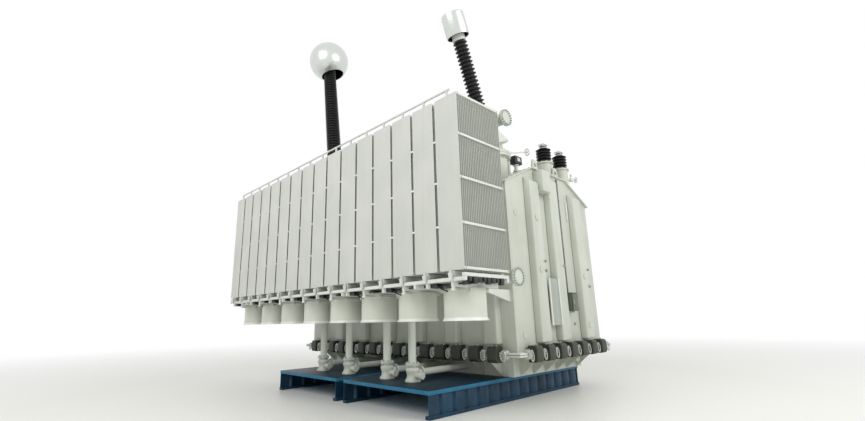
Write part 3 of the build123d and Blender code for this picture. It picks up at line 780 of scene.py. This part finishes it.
# %% [markdown]
# ## Bolts
# A bolt is a six-sided cylinder: its top face is inset and pulled up into a stud end, and a washer lies
# under it. It is modelled once at a size of one metre over the corners, then copied at the right scale to
# every flange. All places are worked out as rings or rows.

# %% One bolt
clear_bench()
bpy.ops.mesh.primitive_cylinder_add(vertices=6, radius=0.5, depth=0.45, location=(0, 0, 0.305))
nut = settle(bpy.context.object)
pick(nut, "polygons", lambda face: face.normal.z > 0.9)
bpy.ops.mesh.inset(thickness=0.14)
bpy.ops.mesh.extrude_region_move(TRANSFORM_OT_translate={"value": (0, 0, 0.16)})
clear_bench()
bpy.ops.mesh.primitive_cylinder_add(vertices=12, radius=0.62, depth=0.08, location=(0, 0, 0.04))
bolt = joined([nut, settle(bpy.context.object)])


def ring(middle, axis, radius, count, size, turn=0.5):
    base = aim(middle, axis)
    places = []
    for i in range(count):
        angle = 2 * math.pi * (i + turn) / count
        at = base @ shift(radius * math.cos(angle), radius * math.sin(angle))
        places.append(at @ Matrix.Scale(size, 4))
    return places


def seat(at, axis, size):
    return aim(at, axis) @ Matrix.Scale(size, 4)


saddle_bolt = 0.038
bolt_places = []
for place in saddle_places:
    bolt_places += [place @ seat((side * 0.038, 0.030, 0.082), (0, 0, 1), saddle_bolt) for side in (-1, 1)]
    bolt_places.append(place @ seat((0, 0.030, -0.082), (0, 0, -1), saddle_bolt))
print("one bolt,", len(bolt.data.polygons), "faces")

# %% [markdown]
# ## Oil manifolds
# A manifold is one long turned pipe with a weld-neck flange and a blank at each end. Bolt heads stand
# on the blanks, so the blank is a little thinner than in the CAD model and the heads end where its face was.

# %% Oil manifolds
main_low, main_high = map(Vector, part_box("upper_manifold"))
main_length = main_high.x - main_low.x
foot_radius, blank_radius = 0.165, 0.165
main_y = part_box("down_pipes")[0][1] + foot_radius
upper_z = (main_low.z + main_high.z) / 2
lower_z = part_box("lower_manifold")[1][2] - blank_radius
half = [
    (0, 0.024), (0.158, 0.024), (0.164, 0.027), (0.164, 0.038), (0.157, 0.039), (0.157, 0.042),
    (0.164, 0.043), (0.164, 0.062), (0.130, 0.064), (0.122, 0.078), (0.1095, 0.110),
]
pipe = turned(half + [(r, main_length - z) for r, z in reversed(half)], 48)
placed(pipe, aim((main_low.x, main_y, 0), (1, 0, 0)))
stub_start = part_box("radiator_valves")[1][1]
stub = bar(0.0445, (0, stub_start, 0), (0, main_y, 0), 24)
stub_flange = bar(0.095, (0, stub_start, 0), (0, stub_start + 0.016, 0), 32)
stubs = copies(joined([stub, stub_flange]), [shift(x) for x in radiator_xs])
manifolds = copies(joined([pipe, stubs]), [shift(0, 0, z) for z in (upper_z, lower_z)])
bank_length = (radiator_count - 1) * radiator_pitch + panel_width
pipe_xs = [bank_x + share * bank_length for share in (-0.170, -0.044, 0.115, 0.205)]
drop = turned(
    [(0, 0), (0.084, 0), (0.084, -0.135), (0.096, -0.150), (0.135, -0.154), (0.135, -0.1775),
     (0, -0.1775)],
    40,
)
drops = copies(drop, [shift(x, main_y, lower_z) for x in pipe_xs])
manifolds = joined([manifolds, drops])
hand_over(manifolds, "oil_manifolds", pipe_enamel, "pipe_paint", "upper_manifold", "lower_manifold")
blank_face, flange_grip = 0.0245, 0.0375
for z in (upper_z, lower_z):
    for x, way in ((main_low.x + blank_face, -1), (main_high.x - blank_face, 1)):
        bolt_places += ring((x, main_y, z), (way, 0, 0), 0.144, 18, 0.034)
        bolt_places += ring((x - way * flange_grip, main_y, z), (-way, 0, 0), 0.144, 18, 0.034)

# %% [markdown]
# ## Valves, down pipes and branches
# The wafer valves and the branches into the tank base keep their CAD shapes with rounded rims. The foot
# pot of a down pipe is a casting with a swelling shoulder and a spread foot, so it is turned in one outline
# with the pipe, and a cone and a capped stub are turned and joined to it. Levers and bolts are added.

# %% Down pipes and valves
for node, edge in (("radiator_valves", 0.006), ("return_branches", 0.006), ("drain_valve", 0.004)):
    hand_over(softened(node, edge, 2), node + "_cast", pipe_enamel, "pipe_paint", node)
pallet_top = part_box("pallet_decks")[1][2]
pipe_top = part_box("down_pipes")[1][2]
pipe_end = pipe_top - pallet_top
pot = turned(
    [(0, 0), (0.160, 0), (0.165, 0.008), (0.163, 0.026), (0.148, 0.048), (0.126, 0.080), (0.118, 0.125),
     (0.124, 0.165), (0.142, 0.212), (0.145, 0.238), (0.137, 0.262), (0.106, 0.286), (0.101, 0.316),
     (0.147, 0.320), (0.150, 0.324), (0.150, 0.337), (0.142, 0.339), (0.142, 0.343), (0.150, 0.345),
     (0.150, 0.357), (0.147, 0.360), (0.092, 0.362), (0.084, 0.376), (0.084, pipe_end - 0.040),
     (0.096, pipe_end - 0.028), (0.133, pipe_end - 0.026), (0.135, pipe_end - 0.022),
     (0.135, pipe_end - 0.002), (0, pipe_end - 0.002)],
    40,
)
cone = turned(
    [(0, 0.090), (0.058, 0.090), (0.060, 0.125), (0.083, 0.190), (0.086, 0.204), (0.118, 0.206),
     (0.120, 0.209), (0.120, 0.228), (0.118, 0.230), (0, 0.230)],
    36,
)
placed(cone, aim((0, 0, 0.170), (0, 1, 0)))
capped = turned(
    [(0, 0.090), (0.055, 0.090), (0.055, 0.236), (0.070, 0.240), (0.075, 0.246), (0.075, 0.288),
     (0.066, 0.300), (0, 0.300)],
    32,
)
placed(capped, aim((0, 0, 0.130), (1, 0, 0)))
pots = copies(joined([pot, cone, capped]), [shift(x, main_y, pallet_top) for x in pipe_xs])
hand_over(pots, "down_pipes_cast", pipe_enamel, "pipe_paint", "down_pipes")
for x in pipe_xs:
    foot = Vector((x, main_y, pallet_top))
    bolt_places += ring((x, main_y, pipe_top + 0.026), (0, 0, 1), 0.112, 8, 0.026)
    bolt_places += ring((x, main_y, pipe_top - 0.026), (0, 0, -1), 0.112, 8, 0.026)
    bolt_places += ring(foot + Vector((0, 0, 0.360)), (0, 0, 1), 0.120, 6, 0.046)
    bolt_places += ring(foot + Vector((0, 0, 0.320)), (0, 0, -1), 0.124, 6, 0.040)
    bolt_places += ring(foot + Vector((0, 0.254, 0.170)), (0, 1, 0), 0.098, 8, 0.024)
    bolt_places += ring(foot + Vector((0, 0.206, 0.170)), (0, -1, 0), 0.098, 8, 0.024)
lever_y = stub_start - 0.030
lever_stem = bar(0.010, (0, lever_y, 0.090), (0, lever_y, 0.135), 12)
lever = joined([lever_stem, block((0.100, 0.014, 0.010), (0.040, lever_y, 0.138), 0.003)])
levers = copies(lever, [shift(x, 0, z) for x in radiator_xs for z in (upper_z, lower_z)])
hand_over(levers, "valve_levers", zinc_plate, "pipe_paint")

# %% [markdown]
# ## Insulators
# A shed has a sloping upper side, a thin rounded lip and a flatter underside. The outline of one shed is
# repeated up the tapered core before the spin, so the whole insulator is one turned piece. The outline takes
# the core's width at root and tip, the reach, pitch and count of the sheds, and the level where they start.

# %% Insulators
def shed_outline(root, tip, reach, pitch, count, start):
    points = [(0, start), (root / 2, start)]
    for i in range(count):
        for share, out in ((0.06, 0.0), (0.34, 0.93), (0.39, 1.0), (0.45, 1.0), (0.49, 0.93), (0.80, 0.06)):
            level = (i + share) * pitch
            core = (root + (tip - root) * level / (pitch * count)) / 2
            points.append((core + out * reach, start + level))
    return points + [(tip / 2, start + pitch * count), (0, start + pitch * count)]


hv_turret_top = 5.750
hv_lean, line_lean = 5.2, 20.6
hv_place = shift(bank_x - 3.950, bank_front + 3.275, hv_turret_top) @ tilt(hv_lean, "X")
hv_sheds = turned(shed_outline(0.450, 0.330, 0.058, 0.096, 50, 0.420), 40)
hand_over(placed(hv_sheds, hv_place), "hv_sheds", silicone_rubber, "silicone", "hv_bushing")
roof_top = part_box("lifting_lugs")[0][2]
line_place = shift(bank_x + 3.100, bank_front + 3.049, roof_top) @ tilt(line_lean, "X")
line_sheds = turned(shed_outline(0.260, 0.226, 0.055, 0.096, 23, 0.850), 40)
hand_over(placed(line_sheds, line_place), "line_sheds", silicone_rubber, "silicone", "line_bushing")
turret_low, turret_high = map(Vector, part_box("small_turrets"))
small_x = (turret_low.x + turret_high.x) / 2
turret_flange_r = 0.235
small_ys = (turret_low.y + turret_flange_r, turret_high.y - turret_flange_r)
small_sheds = turned(shed_outline(0.250, 0.250, 0.0725, 0.083, 5, 0), 40)
small_sheds = copies(small_sheds, [shift(small_x, y, turret_high.z) for y in small_ys])
hand_over(small_sheds, "small_sheds", silicone_rubber, "silicone", "small_bushings")

# %% [markdown]
# ## Bushing feet and heads
# Each insulator stands in a cast foot with a bolted flange, and ends in a metal head. The small bushings
# end in a cap with a stud, nuts and a split clamp for the lead. The line bushing's conical foot leans out of
# an upright skirt with a flange, which is a turned piece that bisect cuts off along the slope of the roof.

# %% Bushing feet and heads
hv_foot = turned(
    [(0, 0), (0.350, 0), (0.350, 0.046), (0.330, 0.050), (0.285, 0.052), (0.268, 0.080), (0.255, 0.360),
     (0.262, 0.380), (0.262, 0.420), (0, 0.420)],
    56,
)
hv_neck = turned(
    [(0, 5.215), (0.120, 5.215), (0.120, 5.900), (0.155, 5.920), (0.155, 6.200), (0, 6.200)],
    32,
)
hand_over(placed(joined([hv_foot, hv_neck]), hv_place), "hv_foot_and_neck", pipe_enamel, "tank_paint")
line_foot = turned(
    [(0, 0.440), (0.435, 0.440), (0.452, 0.447), (0.460, 0.462), (0.457, 0.480), (0.300, 0.780),
     (0.268, 0.822), (0.225, 0.843), (0.178, 0.848), (0.176, 0.850), (0, 0.850)],
    56,
)
line_neck = turned(
    [(0, 3.054), (0.150, 3.054), (0.158, 3.062), (0.158, 3.120), (0.150, 3.128), (0.150, 3.290),
     (0.158, 3.300), (0.158, 3.330), (0.100, 3.340), (0.100, 3.700), (0, 3.700)],
    40,
)
line_metal = joined([line_foot, line_neck])
hand_over(placed(line_metal, line_place), "line_foot_and_neck", pipe_enamel, "tank_paint")
roof_rise, roof_run = 0.530, 1.100
roof_slope = math.atan2(roof_rise, roof_run)
eave_level = tank_high.z - roof_rise
skirt_at = (line_place.translation.x, line_place.translation.y - 0.025)
skirt = turned(
    [(0, 4.600), (0.315, 4.600), (0.315, 5.375), (0.390, 5.380), (0.400, 5.388), (0.400, 5.435),
     (0.392, 5.442), (0.392, 5.448), (0.400, 5.455), (0.400, 5.505), (0.390, 5.512), (0.350, 5.515),
     (0.330, 5.540), (0, 5.540)],
    48,
)
placed(skirt, shift(*skirt_at))
bpy.ops.object.mode_set(mode="EDIT")
bpy.ops.mesh.select_all(action="SELECT")
bpy.ops.mesh.bisect(
    plane_co=(0, tank_low.y, eave_level + 0.010),
    plane_no=(0, -math.sin(roof_slope), math.cos(roof_slope)),
    use_fill=True, clear_inner=True,
)
bpy.ops.object.mode_set(mode="OBJECT")
neck = turned([(0, 0.150), (0.300, 0.150), (0.300, 0.450), (0, 0.450)], 48)
skirt = joined([skirt, placed(neck, line_place)])
hand_over(skirt, "line_turret_skirt", tank_enamel, "tank_paint", "line_turret")
bolt_places += [hv_place @ place for place in ring((0, 0, 0.048), (0, 0, 1), 0.312, 20, 0.036)]
bolt_places += ring((*skirt_at, 5.512), (0, 0, 1), 0.370, 18, 0.034)
bolt_places += ring((*skirt_at, 5.380), (0, 0, -1), 0.360, 18, 0.034)
cap = turned(
    [(0, 0), (0.082, 0), (0.085, 0.004), (0.085, 0.030), (0.070, 0.038), (0.034, 0.040), (0.030, 0.044),
     (0.030, 0.150), (0.026, 0.158), (0, 0.158)],
    32,
)
clamp_halves = [block((0.070, 0.190, 0.080), (side * 0.042, 0, 0.095), 0.016, 3) for side in (1, -1)]
palm = block((0.026, 0.130, 0.130), (0, 0.090, 0.100), 0.006)
cap_z = turret_high.z + 0.415
terminals = copies(joined([cap, palm] + clamp_halves), [shift(small_x, y, cap_z) for y in small_ys])
hand_over(terminals, "small_terminals", zinc_plate, "shield_metal")
for y in small_ys:
    top = Vector((small_x, y, cap_z))
    bolt_places += [seat(top + Vector((0.077, side * 0.060, 0.095)), (1, 0, 0), 0.036) for side in (-1, 1)]
    bolt_places += ring((small_x, y, turret_high.z), (0, 0, 1), 0.214, 12, 0.024)

# %% [markdown]
# ## Shields
# The sphere and the can keep the field even round the bushing heads, so every edge is rolled. Both are
# spun shells. A black liner just inside each shell is painted shade, so that their insides stay dark. The
# sphere hangs a little askew on its head, with one side of its mouth higher than the other.

# %% Shields
def arc_points(radius, angles, middle=(0, 0)):
    return [(middle[0] + radius * math.sin(a), middle[1] + radius * math.cos(a)) for a in angles]


sphere_r, mouth_r, lip_r = 0.7145, 0.4125, 0.016
mouth_angle = math.pi - math.asin((mouth_r + lip_r) / sphere_r)
arc = [i / 48 * mouth_angle for i in range(49)]
lip_at = Vector(arc_points(sphere_r - lip_r, [mouth_angle])[0])
lip = arc_points(lip_r, [mouth_angle + i / 8 * math.pi for i in range(1, 9)], lip_at)
inner_r = sphere_r - 2 * lip_r
sphere_shell = turned(arc_points(sphere_r, arc) + lip + arc_points(inner_r, arc[-2::-1]), 72)
askew = tilt(11, Vector((0.72, -0.69, 0)))
head_level, sphere_rise = 5.220, 0.3575
sphere_place = hv_place @ shift(0, 0, head_level + sphere_rise) @ askew
placed(sphere_shell, sphere_place)
hand_over(sphere_shell, "spherical_shield", spun_aluminium, "shield_metal", "hv_shield")
# A black liner inside the sphere is painted shade
sphere_painted_shade = turned(arc_points(inner_r - 0.002, arc) + arc_points(inner_r - 0.006, arc[::-1]), 64)
hand_over(placed(sphere_painted_shade, sphere_place), "sphere_painted_shade", relay_enamel, "silicone")

can_r, can_low, can_high, corner_r = 0.275, 3.158, 3.715, 0.045
quarter = [i / 8 * math.pi / 2 for i in range(9)]
can = [(0, can_high)]
can += arc_points(corner_r, quarter, (can_r - corner_r, can_high - corner_r))
can += [
    (can_r, can_low + 0.015), (can_r - 0.004, can_low + 0.004), (can_r - 0.012, can_low),
    (can_r - 0.020, can_low + 0.004), (can_r - 0.022, can_low + 0.020), (can_r - 0.022, can_high - 0.05),
    (0, can_high - 0.05),
]
can_shell = turned(can, 64)
hand_over(placed(can_shell, line_place), "cylindrical_shield", spun_aluminium, "shield_metal", "line_shield")
# A black liner inside the can is painted shade
can_painted_shade = turned(
    [(can_r - 0.024, can_low + 0.012), (can_r - 0.024, can_high - 0.055), (0, can_high - 0.055),
     (0, can_high - 0.060), (can_r - 0.028, can_high - 0.060), (can_r - 0.028, can_low + 0.012),
     (can_r - 0.024, can_low + 0.012)],
    48,
)
hand_over(placed(can_painted_shade, line_place), "can_painted_shade", relay_enamel, "silicone")

# %% [markdown]
# ## Control box
# The control box has a case, a door that stands a little proud of it on two hinges, and a rain canopy. A
# latch and three cable glands are its metal fittings.

# %% Control box
box_low, box_high = map(Vector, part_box("control_box"))
box_size = box_high - box_low
box_middle = (box_low + box_high) / 2
case = block((box_size.x - 0.030, box_size.y, box_size.z), box_middle - Vector((0.015, 0, 0)), 0.008)
door_x = box_high.x - 0.012
door = block((0.020, box_size.y - 0.020, box_size.z - 0.020), (door_x, box_middle.y, box_middle.z), 0.005)
canopy = block(
    (box_size.x + 0.010, box_size.y + 0.030, 0.012),
    (box_middle.x + 0.002, box_middle.y, box_high.z + 0.004), 0.003,
)
hinge_y = box_high.y + 0.004
hinges = [
    bar(0.009, (door_x, hinge_y, z - 0.030), (door_x, hinge_y, z + 0.030), 14)
    for z in (box_low.z + 0.08, box_high.z - 0.08)
]
hand_over(joined([case, door, canopy] + hinges), "control_cabinet", box_enamel, "box_paint", "control_box")
latch = block((0.016, 0.022, 0.085), (box_high.x + 0.004, box_low.y + 0.045, box_middle.z), 0.004)
glands = [
    bar(0.018, (box_middle.x, y, box_low.z - 0.040), (box_middle.x, y, box_low.z + 0.004), 16)
    for y in (box_middle.y - 0.07, box_middle.y, box_middle.y + 0.07)
]
hand_over(joined([latch] + glands), "cabinet_fittings", zinc_plate, "shield_metal")

# %% [markdown]
# ## Conduit, cover plate and pads
# A conduit climbs from the box to the roof in clips. A cover plate bridges two ribs between bright edge
# strips, and its darker paint is painted shade between the ribs. Small round pads are welded to the walls as
# anchors for lifting and bracing.

# %% Conduit, cover plate and pads
wall_x = tank_high.x
rib_x = wall_x + 0.160
conduit_x = wall_x + 0.030
conduit = bar(
    0.021, (conduit_x, box_middle.y, box_high.z - 0.005), (conduit_x, box_middle.y, tank_high.z - 0.050), 16
)
clips = [
    block((0.046, 0.090, 0.026), (wall_x + 0.022, box_middle.y, box_high.z + 0.25 + i * 0.42), 0.004)
    for i in range(7)
]
hand_over(joined([conduit] + clips), "wall_conduit", motor_enamel, "fan_paint")
cover_y, cover_z = tank_y - 0.500, 2.055
cover = block((0.012, 0.400, 1.040), (rib_x + 0.006, cover_y, cover_z), 0.003)
# The darker plate paint is painted shade
hand_over(cover, "rib_cover_plate", shaded_plate_enamel, "tank_paint")
strips = [
    block((0.026, 0.050, 1.050), (rib_x + 0.013, cover_y + side * 0.205, cover_z), 0.004) for side in (-1, 1)
]
strips.append(block((0.030, 0.060, 0.480), (wall_x + 0.015, tank_y + 0.780, 4.380), 0.006))
hand_over(joined(strips), "edge_strips", frame_enamel, "frame_paint")
pad = turned(
    [(0, 0), (0.075, 0), (0.078, 0.004), (0.078, 0.012), (0.070, 0.016), (0.052, 0.016), (0.048, 0.011),
     (0, 0.011)],
    36,
)
places = [aim((wall_x, tank_low.y + 0.330, z), (1, 0, 0)) for z in (1.350, 2.750, 4.020)]
places += [aim((rib_x, tank_y - 0.955, z), (1, 0, 0)) for z in (2.760, 3.960)]
places += [aim((rib_x, tank_y + 1.108, z), (1, 0, 0)) for z in (1.500, 2.700)]
hand_over(copies(pad, places), "wall_pads", tank_enamel, "tank_paint")

# %% [markdown]
# ## Gas relay and roof valve
# The relay is a black cast box with a sight glass, carried on a short pipe, with a small valve beside it
# whose hand wheel stands out on a long spindle. The wheel is a torus with spokes.

# %% Gas relay and roof valve
relay_low, relay_high = map(Vector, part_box("gas_relay"))
relay_x = (relay_low.x + relay_high.x) / 2
relay_y = (relay_low.y + relay_high.y) / 2
relay_z = relay_high.z - 0.130
case = block((0.190, 0.290, 0.200), (relay_x, relay_y, relay_z), 0.016, 3)
dome = turned([(0, 0), (0.060, 0), (0.060, 0.020), (0.040, 0.028), (0, 0.030)], 28)
placed(dome, shift(relay_x, relay_y + 0.06, relay_high.z - 0.030))
hand_over(joined([case, dome]), "relay_case", relay_enamel, "fan_paint", "gas_relay")
flanges = [
    bar(0.075, (relay_x, relay_y, relay_low.z + 0.004), (relay_x, relay_y, relay_low.z + 0.050), 28),
    bar(0.045, (relay_x, relay_y, relay_low.z - 0.020), (relay_x, relay_y, relay_z - 0.09), 24),
    bar(0.070, (relay_x, relay_y, relay_z - 0.130), (relay_x, relay_y, relay_z - 0.100), 28),
]
window = block((0.010, 0.120, 0.090), (relay_high.x - 0.004, relay_y, relay_z + 0.01), 0.003)
hand_over(joined(flanges + [window]), "relay_pipe", pipe_enamel, "pipe_paint")
valve_at = Vector((relay_x - 0.100, relay_y - 0.154, roof_top + 0.451))
wheel_at = Vector((relay_x + 0.100, relay_y + 0.406, roof_top + 0.561))
stand = bar(0.036, valve_at - Vector((0, 0, 0.580)), valve_at, 20)
valve_body = bar(0.062, valve_at - Vector((0, 0, 0.070)), valve_at + Vector((0, 0, 0.050)), 24, 0.012)
spindle = bar(0.014, valve_at, wheel_at, 14)


def hand_wheel(radius, at, axis):
    clear_bench()
    bpy.ops.mesh.primitive_torus_add(
        major_radius=radius, minor_radius=0.011, major_segments=32, minor_segments=10
    )
    wheel = bpy.context.object
    spokes = []
    for i in range(3):
        out = Vector((math.cos(i * math.pi / 3), math.sin(i * math.pi / 3), 0)) * (radius - 0.001)
        spokes.append(bar(0.007, out, -out, 10))
    wheel = joined([wheel, bar(0.020, (0, 0, -0.016), (0, 0, 0.018), 18)] + spokes)
    smooth(40)
    return placed(wheel, aim(at, axis))


roof_wheel = hand_wheel(0.085, wheel_at, wheel_at - valve_at)
hand_over(joined([stand, valve_body, spindle, roof_wheel]), "roof_valve", frame_enamel, "pipe_paint")

# %% [markdown]
# ## Turret valve
# The turret of the farther small bushing has a bleed valve on its side. A stub carries the barrel, a short
# bonnet stands on it, and the hand wheel faces away from the turret.

# %% Turret valve
bleed_from = Vector((small_x, small_ys[1], turret_high.z - 0.270))
bleed_way = Vector((0.504, 0.864, 0))
turret_r = 0.190
barrel_at = bleed_from + bleed_way * (turret_r + 0.130)
bleed = [
    bar(0.034, bleed_from + bleed_way * (turret_r - 0.010), bleed_from + bleed_way * (turret_r + 0.210), 18),
    bar(0.060, barrel_at - bleed_way * 0.055, barrel_at + bleed_way * 0.055, 24, 0.012),
    bar(0.018, barrel_at, barrel_at + Vector((0, 0, 0.130)), 14),
    bar(0.034, barrel_at + Vector((0, 0, 0.110)), barrel_at + Vector((0, 0, 0.160)), 16, 0.008),
    bar(0.014, barrel_at, bleed_from + bleed_way * (turret_r + 0.275), 14),
    hand_wheel(0.070, bleed_from + bleed_way * (turret_r + 0.270), bleed_way),
]
hand_over(joined(bleed), "turret_valve", frame_enamel, "pipe_paint")

# %% [markdown]
# ## Pallets
# The pallets are deck plates on corrugated sides. Copies with a folded-sheet radius carry the worn blue
# paint.

# %% Pallets
hand_over(softened("pallet_decks", 0.010, 2), "deck_plates", deck_paint, "pallet_paint", "pallet_decks")
# The darker side paint is painted shade
hand_over(softened("pallet_walls", 0.003, 1), "corrugated_sides", shaded_side_paint, "pallet_paint", "pallet_walls")

# %% [markdown]
# ## Bolt rows
# The rest of the bolts stand in rows: along the roof edge, at the ends of the straps, and as set screws in
# the clamps. A few single studs stand on the end wall and its ribs. Then one joined piece holds them all.

# %% Bolt rows
roof_plate, roof_bolt = 0.030, 0.030
eave_overhang, gable_overhang = 0.028, 0.030
roof_half_width = 1.910
eave_y = tank_low.y - eave_overhang
eave_z = eave_level + roof_plate - eave_overhang * math.tan(roof_slope)
gable_xs = (tank_low.x - gable_overhang, tank_high.x + gable_overhang)
roof_steps = [tank_low.x + 0.10 + i * 0.208 for i in range(38)]
for side in (-1, 1):
    y = tank_y + side * (tank_y - eave_y)
    normal = (0, side * math.sin(roof_slope), math.cos(roof_slope))
    bolt_places += [seat((x, y, eave_z), normal, roof_bolt) for x in roof_steps]
    for x in gable_xs:
        for run in [0.06 + i * 0.19 for i in range(6)]:
            z = eave_level + roof_plate + run * math.tan(roof_slope)
            bolt_places.append(seat((x, tank_y + side * (roof_half_width - run), z), normal, roof_bolt))
ridge_ys = [tank_y - 0.70 + i * 0.20 for i in range(8)]
for x in gable_xs:
    bolt_places += [seat((x, y, tank_high.z + roof_plate), (0, 0, 1), roof_bolt) for y in ridge_ys]
strap_low, strap_high = map(Vector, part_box("end_straps"))
for z in strap_zs:
    for x, way in ((strap_low.x, -1), (strap_high.x, 1)):
        for y in (strap_low.y + 0.03, strap_high.y - 0.03):
            bolt_places.append(seat((x, y, z), (way, 0, 0), 0.018))
clamp_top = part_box("flange_clamps")[1][2]
screw_inset, screw_half_gap, screw_size = 0.02, 0.06, 0.040
screw_spots = []
for side in (-1, 1):
    for x in [tank_x + (i - 7) * clamp_pitch + side * screw_half_gap for i in range(15)]:
        screw_spots += [(x, flange_low.y + screw_inset), (x, flange_high.y - screw_inset)]
    for y in [tank_y + (i - 3) * clamp_pitch + side * screw_half_gap for i in range(7)]:
        screw_spots += [(flange_low.x + screw_inset, y), (flange_high.x - screw_inset, y)]
bolt_places += [seat((x, y, clamp_top), (0, 0, 1), screw_size) for x, y in screw_spots]
stud_size = 0.060
for y, z in ((-0.776, 2.960), (-0.776, 2.740), (0.067, 2.904), (1.287, 2.883), (1.287, 2.455)):
    bolt_places.append(seat((rib_x, tank_y + y, z), (1, 0, 0), stud_size))
bolt_places.append(seat((wall_x, tank_y + 0.609, 1.542), (1, 0, 0), stud_size))
hand_over(copies(bolt, bolt_places), "bolts", zinc_plate, "shield_metal")
print(len(bolt_places), "bolts")

# %% [markdown]
# ## Remaining CAD nodes
# Every CAD node gets the finish that its slot asks for, in case one of them still shows as packed.

# %% Remaining CAD nodes
slot_finish = {
    "radiator_paint": radiator_enamel, "drum_paint": drum_enamel, "frame_paint": frame_enamel,
    "pipe_paint": pipe_enamel, "fan_paint": motor_enamel, "tank_paint": tank_enamel,
    "clamp_iron": forged_iron, "silicone": silicone_rubber, "shield_metal": spun_aluminium,
    "box_paint": box_enamel, "pallet_paint": deck_paint,
}
for part in frame["record"]["subparts"]:
    node = frame["nodes"][part["node"]]
    node.data.materials.clear()
    node.data.materials.append(slot_finish[part["material_slot"]])
print("finishes on", len(frame["nodes"]), "nodes")

# %% [markdown]
# ## Floor
# A wide pale floor keeps the shadow and fades into the white surroundings, so no horizon shows. The fade is
# the distance from the middle of the object.

# %% Floor
clear_bench()
bpy.ops.mesh.primitive_circle_add(vertices=96, radius=90, fill_type="NGON", location=(0, 0, -0.002))
floor = settle(bpy.context.object)
floor.name = "floor"
floor_paint, tree, where = blank_finish("pale_floor")
distance = add(tree, "ShaderNodeVectorMath", {"operation": "LENGTH"}, {0: where})
far = add(
    tree, "ShaderNodeMapRange", {"From Min": 9.0, "From Max": 30.0}, {"Value": distance.outputs["Value"]}
)
floor_tone = add(
    tree, "ShaderNodeMix", {"data_type": "RGBA", 6: linear("#f2f2ec"), 7: linear("#ffffff")},
    {0: far.outputs[0]},
)
screed = add(tree, "ShaderNodeBsdfPrincipled", {"Roughness": 0.45}, {"Base Color": floor_tone.outputs[2]})
white = add(tree, "ShaderNodeEmission", {"Color": (1, 1, 1, 1), "Strength": 1.0})
seen = add(tree, "ShaderNodeMixShader", links={0: far.outputs[0], 1: screed.outputs[0], 2: white.outputs[0]})
add(tree, "ShaderNodeOutputMaterial", links={"Surface": seen.outputs[0]})
floor.data.materials.append(floor_paint)
print("floor", round(floor.dimensions.x), "m across")

# %% [markdown]
# ## Light
# Light is a bright even surround with two large soft lamps, one in front and one at the side. The surround
# is plain white to the camera and in reflections, and dimmer as a light, so that paint renders as written.

# %% Light
world = bpy.data.worlds.new("studio")
bpy.context.scene.world = world
world.use_nodes = True
tree = world.node_tree
tree.nodes.clear()
path = add(tree, "ShaderNodeLightPath")
mirrored = add(
    tree, "ShaderNodeMath", {"operation": "MAXIMUM"},
    {0: path.outputs["Is Glossy Ray"], 1: path.outputs["Is Transmission Ray"]},
)
direct = add(
    tree, "ShaderNodeMath", {"operation": "MAXIMUM"},
    {0: path.outputs["Is Camera Ray"], 1: mirrored.outputs[0]},
)
strength = add(tree, "ShaderNodeMapRange", {"To Min": 0.62, "To Max": 1.0}, {"Value": direct.outputs[0]})
sky = add(tree, "ShaderNodeBackground", {"Color": (1, 1, 1, 1)}, {"Strength": strength.outputs[0]})
add(tree, "ShaderNodeOutputWorld", links={"Surface": sky.outputs[0]})
for name, at, aimed, size, power in (
    ("key", (4, -19, 15), (0, 0, 3), 12, 1500),
    ("side", (20, 2, 12), (0, 0, 3), 10, 1500),
):
    lamp = bpy.data.lights.new(name, "AREA")
    lamp.size = size
    lamp.energy = power
    holder = bpy.data.objects.new(name, lamp)
    bpy.context.collection.objects.link(holder)
    holder.location = at
    holder.rotation_euler = (Vector(aimed) - Vector(at)).to_track_quat("-Z", "Y").to_euler()
bpy.context.scene.view_settings.view_transform = "Standard"

# %% [markdown]
# ## Camera
# The camera stands where the photograph was taken from, low beside the near corner, and looks up with a wide
# lens. Yaw, pitch, roll and the lens were fitted to the straight edges of the object.

# %% Camera
yaw, pitch, roll_angle = math.radians(46.40), math.radians(13.98), math.radians(-1.27)
ahead = Vector((-math.sin(yaw) * math.cos(pitch), math.cos(yaw) * math.cos(pitch), math.sin(pitch)))
right = Vector((math.cos(yaw), math.sin(yaw), 0))
up = right.cross(ahead)
right, up = (
    math.cos(roll_angle) * right + math.sin(roll_angle) * up,
    math.cos(roll_angle) * up - math.sin(roll_angle) * right,
)
image_width, focal_pixels, middle_pixel = 865, 437.8, 414.5
lens = bpy.data.cameras.new("camera")
lens.sensor_fit = "HORIZONTAL"
lens.sensor_width = 36
lens.lens = lens.sensor_width * focal_pixels / image_width
lens.shift_x = 0.5 - middle_pixel / image_width
lens.clip_end = 500
camera = bpy.data.objects.new("camera", lens)
bpy.context.collection.objects.link(camera)
turn = Matrix((right, up, -ahead)).transposed().to_4x4()
viewpoint = (bank_x + 8.919, bank_front - 5.168, 1.726)
camera.matrix_world = shift(*viewpoint) @ turn
bpy.context.scene.camera = camera
print("camera at", [round(v, 2) for v in camera.location])

# %% [markdown]
# ## Final update
# The view layer is updated once more, so that every piece stands in its place. The dressed
# model must fill the same box as the CAD model.

# %% Final update
bpy.context.view_layer.update()
